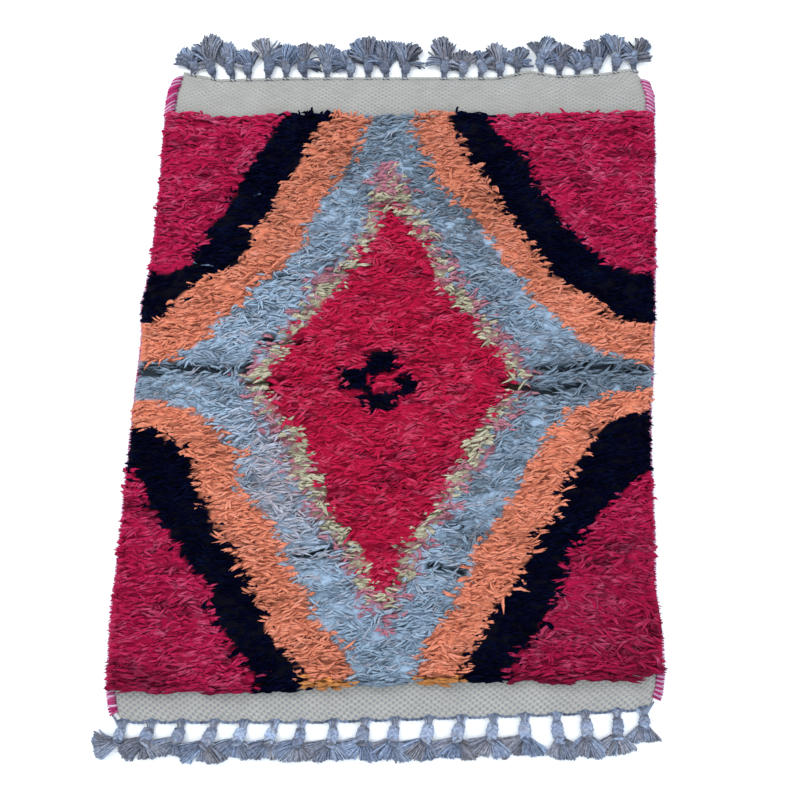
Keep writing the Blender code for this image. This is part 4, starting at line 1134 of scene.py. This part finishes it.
def makeFringe(name, node, plaits, endTable, far):
    random = np.random.RandomState(fringe["seed"] + far)
    way = 1.0 if far else -1.0
    cut = brushes["far" if far else "near"]
    material = woolMaterial(name + "Yarn", fringeYarn, fringeTaupe, sheen=0.2, streaks=3.4, blotches=240.0,
                            contrast=1.5)

    # The twined line along the cloth's end
    x = np.arange(min(r[0] for r in plaits) - 0.9, max(r[0] for r in plaits) + 0.9, 0.25) * cm
    y = readTable(endTable, x) + (-0.0004 if far else 0.0014 - ground["scallop"] * betweenPlaits(plaits, x))
    n = len(x)
    twine = pathMesh(name + "Twine", np.stack((x, y, np.zeros(n)), axis=-1), {
        "tone": np.full(n, 0.2), "girth": np.ones(n),
        "shade": np.zeros(n) if far else random.uniform(0.0, 0.75, n)})
    pieces = [growPiece(name + "Twined", twine, plaited, **{
        "Strands": 2, "Turns per metre": fringe["twineTurns"], "Sway": 0.0011, "Lift": 0.0011,
        "Lift rate": 1.0, "Lift shift": math.pi / 2, "Height": 0.0026, "Spacing": 0.0022,
        "Yarn radius": fringe["twineYarn"] * (1.4 if far else 1.0), "Sides": 5,
        "Material": woolMaterial("farEndYarn", farEndYarn, contrast=0.6) if far else material})]

    # Yarns from the cloth into each plait, and the plaits
    rootYarns, plaitYarns = newYarns(), newYarns()
    knotRows, brushRows = [], []
    for row in plaits:
        rootX, knotX, knotY, tipX, tipY, fan = [value * cm for value in row]
        rootY = float(readTable(endTable, rootX)) + way * 0.004
        start = np.array((rootX + (knotX - rootX) * 0.2, rootY + way * 0.0035))
        end = np.array((knotX, knotY))
        along = end - start
        length = float(np.hypot(*along))
        steps = max(4, int(length / 0.003))
        bow = random.uniform(-cut["bow"], cut["bow"])
        size = random.uniform(0.9, 1.1) * cut["size"]
        points, girth = [], []
        for k in range(steps + 1):
            share = k / steps
            swell = math.sin(share * math.pi)
            points.append((start[0] + along[0] * share + bow * swell, start[1] + along[1] * share,
                           fringe["wave"] * math.sin(share * 5.0)))
            girth.append(size * (0.85 + 0.25 * swell))
        tone = random.uniform(0, 1)
        dye = [random.uniform(0, 0.9) if k % 2 == 0 else 0.3 for k in range(steps + 1)]
        addYarn(plaitYarns, points, tone, dye, girth)
        for k in range(fringe["rootYarns"]):
            share = (k + 0.5) / fringe["rootYarns"] * 2.0 - 1.0
            fromX = rootX + share * cut["rootSpread"] + random.uniform(-0.0006, 0.0006)
            fromY = float(readTable(endTable, fromX)) - way * 0.0022
            middleX, middleY = fromX + (start[0] - fromX) * 0.55, fromY + (start[1] - fromY) * 0.45
            points = [(fromX, fromY, 0.0011), (middleX, middleY, 0.0010 + 0.0006 * (k % 2)),
                      (start[0] + share * 0.0030, start[1] + way * 0.0025, 0.0010 + 0.0007 * (k % 3))]
            addYarn(rootYarns, points, random.uniform(0, 1), random.uniform(0, 1), [0.75, 1.0, 1.1])
        if not far and (row is plaits[0] or row is plaits[-1]):
            # Warps drawn in from the cloth's corner
            toSide = -1.0 if row is plaits[0] else 1.0
            for k in range(fringe["cornerYarns"]):
                offset = fringe["cornerStep"] * k
                fromX, fromY = rootX + toSide * (0.0045 + offset), rootY - way * (0.0035 + offset)
                middleX, middleY = (fromX + start[0]) / 2 + toSide * 0.0008, (fromY + start[1]) / 2
                points = [(fromX, fromY, 0.0012), (middleX, middleY, 0.0016),
                          (start[0] + toSide * 0.0010, start[1] + way * 0.0020, 0.0014)]
                addYarn(rootYarns, points, random.uniform(0, 1), random.uniform(0, 1), [0.8, 1.0, 1.1])
        # The knot's wraps
        heading = math.atan2(along[1], along[0])
        for k in range(fringe["wraps"]):
            shift = (k - 1) * fringe["wrapStep"]
            knotRows.append((
                end[0] + math.cos(heading) * shift, end[1] + math.sin(heading) * shift, 0.0043,
                heading + random.normal(0, 0.25), random.uniform(0.0043, 0.0054),
                0.0027 + 0.0005 * (k == 1), random.uniform(0.9, 1.15), random.uniform(0, 1),
                random.choice((-1.0, 1.0))))
        # The cut brush opens in rounded lobes
        deep, wideOut = tipY - knotY, tipX - knotX
        brushHeading = math.atan2(deep, wideOut)
        brushReach = float(np.hypot(wideOut, deep))
        mirror = -1.0 if random.uniform() < 0.5 else 1.0
        phase = random.uniform(0.0, 2.0 * math.pi)
        wide = 1.0 if far else fan / 0.024
        for strands, half, turn, part in cut["lobes"]:
            lobeHeading = brushHeading + mirror * turn * wide + random.normal(0.0, cut["turn"])
            lobeReach = brushReach * part * random.uniform(0.90, 1.08)
            lobeLift = random.uniform(*cut["lift"])
            lobeTone, lobeDye = random.uniform(0.1, 0.9), random.uniform(0, 1)
            lobeShade = random.uniform(*cut["shade"])
            lobeBend = random.normal(0.0, 0.22)
            cosine, sine = math.cos(lobeHeading), math.sin(lobeHeading)
            for k in range(strands):
                share = ((k + 0.5) / strands * 2.0 - 1.0) + random.uniform(-0.12, 0.12)
                angle = lobeHeading + share * (half * wide)
                if not far:
                    # The near brushes lie level with their knots and meet their neighbours
                    angle = min(max(angle, random.uniform(0.0, 0.30) - math.pi), random.uniform(-0.30, 0.0))
                    # They curl down at their tips, and are cut to one wavy line
                    bend = -(angle + math.pi / 2) * random.uniform(0.02, 0.34)
                    depth = (0.94 + 0.10 * math.sin(2.0 * angle + phase)) * abs(deep)
                    strandReach = min(depth / max(-math.sin(angle + bend), 0.1), 1.34 * brushReach)
                if far or abs(wideOut) > 1.5 * abs(deep):
                    bend = lobeBend + random.normal(0.0, 0.12)
                    strandReach = lobeReach * (1.0 - cut["rounding"] * share * share)
                across = share * cut["spread"]
                low = random.uniform() < cut["low"]
                back = random.uniform(0.001, 0.009) if far else 0.0
                root = end - along / length * back
                brushRows.append((
                    root[0] - sine * across + cosine * 0.0025,
                    root[1] + cosine * across + sine * 0.0025, random.uniform(0.0014, 0.0034), angle,
                    strandReach * random.uniform(0.95, 1.02) + back * 0.7,
                    lobeLift * random.uniform(0.4, 1.1) * (0.5 if low else 1.0), random.uniform(0.8, 1.2),
                    clamp(lobeTone + random.normal(0, 0.15)), clamp(lobeDye + random.normal(0, 0.2)),
                    lobeShade + (random.uniform(0.30, 0.60) if low else 0.0), bend))
    roots = yarnMesh(name + "RootYarns", rootYarns, cut["rootShade"])
    pieces.append(growPiece(name + "Roots", roots, plaited, **{
        "Strands": 1, "Sway": 0.0, "Lift": 0.0, "Height": 0.0018, "Spacing": 0.0032,
        "Yarn radius": fringe["rootYarn"], "Sides": 4, "Material": material}))
    middle = yarnMesh(name + "PlaitPaths", plaitYarns, cut["plaitShade"])
    pieces.append(growPiece(name + "Plaits", middle, plaited, **{
        "Strands": 3, "Turns per metre": cut["turns"], "Sway": fringe["sway"], "Lift": fringe["lift"],
        "Height": fringe["height"], "Spacing": 0.0015, "Yarn radius": fringe["yarn"], "Sides": 6,
        "Material": material}))
    count = len(knotRows)
    rings = rowMesh(name + "KnotPoints", knotRows, ("heading", "reach", "crest", "girth", "tone", "lean"),
                    dye=random.uniform(0, 1, count), shade=random.uniform(0.1, 0.5, count))
    pieces.append(growPiece(name + "Knots", rings, wrap, **{
        "Steps": 12, "Yarn radius": fringe["wrapYarn"], "Flatness": 0.9, "Sides": 6, "Slant": 0.35,
        "Floor": 0.0027, "Material": material}))
    strands = rowMesh(name + "BrushPoints", brushRows, (
        "heading", "reach", "crest", "girth", "tone", "dye", "shade", "bend"))
    pieces.append(growPiece(name + "Brushes", strands, brushLocks, **{
        "Yarn radius": cut["radius"], "Flatness": 0.85, "Steps": 4, "Sides": 3, "Wander": cut["wander"],
        "Wander scale": 200.0, "Twist": 1.5, "Floor": cut["radius"] * 1.25 + 0.0001, "Material": material}))
    piece = joinMeshes(name, pieces)
    finishPiece(piece, "fringe_yarn", node)
    print(name + ":", len(piece.data.polygons), "faces")


makeFringe("fringeNear", "fringe_near", nearPlaits, nearEnd, 0)
makeFringe("fringeFar", "fringe_far", farPlaits, farEnd, 1)

# The floor, the light and the camera

view = {"lens": 45.0, "sensor": 36.0, "tilt": 12.7, "distance": 1.29, "target": (0.0, -0.03, 0.0)}
studio = {"floor": 4.0, "key": 24.0, "fill": 19.0, "sky": 1.27, "skyColour": (0.82, 0.91, 1.0)}


def makeFloor():
    half = studio["floor"]
    corners = [(-half, -half, 0), (half, -half, 0), (half, half, 0), (-half, half, 0)]
    mesh = meshFrom("studioFloor", corners, [], [(0, 1, 2, 3)])
    material, tree, shader = newMaterial("paleStudioFloor", roughness=0.95, specular=0.0)
    colour = tree.mix(tree.noise(tree.place(), 6.0, 2.0), (0.94, 0.94, 0.945), (0.96, 0.96, 0.96))
    tree.fill(shader["Base Color"], colour)
    mesh.materials.append(material)
    addObject("studioFloor", mesh)


def addSoftbox(name, place, size, power, colour):
    # A round light that looks at the middle of the floor
    light = bpy.data.lights.new(name, "AREA")
    light.shape = "DISK"
    light.size = size
    light.energy = power
    light.color = colour
    holder = addObject(name, light)
    holder.location = place
    turn = math.atan2(-place[1], -place[0]) - math.pi / 2
    holder.rotation_euler = (math.atan2(math.hypot(place[0], place[1]), place[2]), 0.0, turn)


makeFloor()
addSoftbox("keySoftbox", (-1.3, 1.1, 1.9), 1.1, studio["key"], (1.0, 0.98, 0.95))
addSoftbox("fillSoftbox", (1.6, -1.2, 1.8), 1.6, studio["fill"], (0.93, 0.96, 1.0))
sky = bpy.data.worlds.new("studioSky")
sky.use_nodes = True
background = sky.node_tree.nodes["Background"].inputs
background["Color"].default_value = opaque(studio["skyColour"])
background["Strength"].default_value = studio["sky"]
bpy.context.scene.world = sky
bpy.context.scene.view_settings.view_transform = "Standard"

lens = bpy.data.cameras.new("photoCamera")
lens.lens = view["lens"]
lens.sensor_width = view["sensor"]
camera = addObject("photoCamera", lens)
tilt = math.radians(view["tilt"])
targetX, targetY, _ = view["target"]
camera.location = (targetX, targetY - view["distance"] * math.sin(tilt), view["distance"] * math.cos(tilt))
camera.rotation_euler = (tilt, 0.0, 0.0)
bpy.context.scene.camera = camera
print("floor, light and camera done")
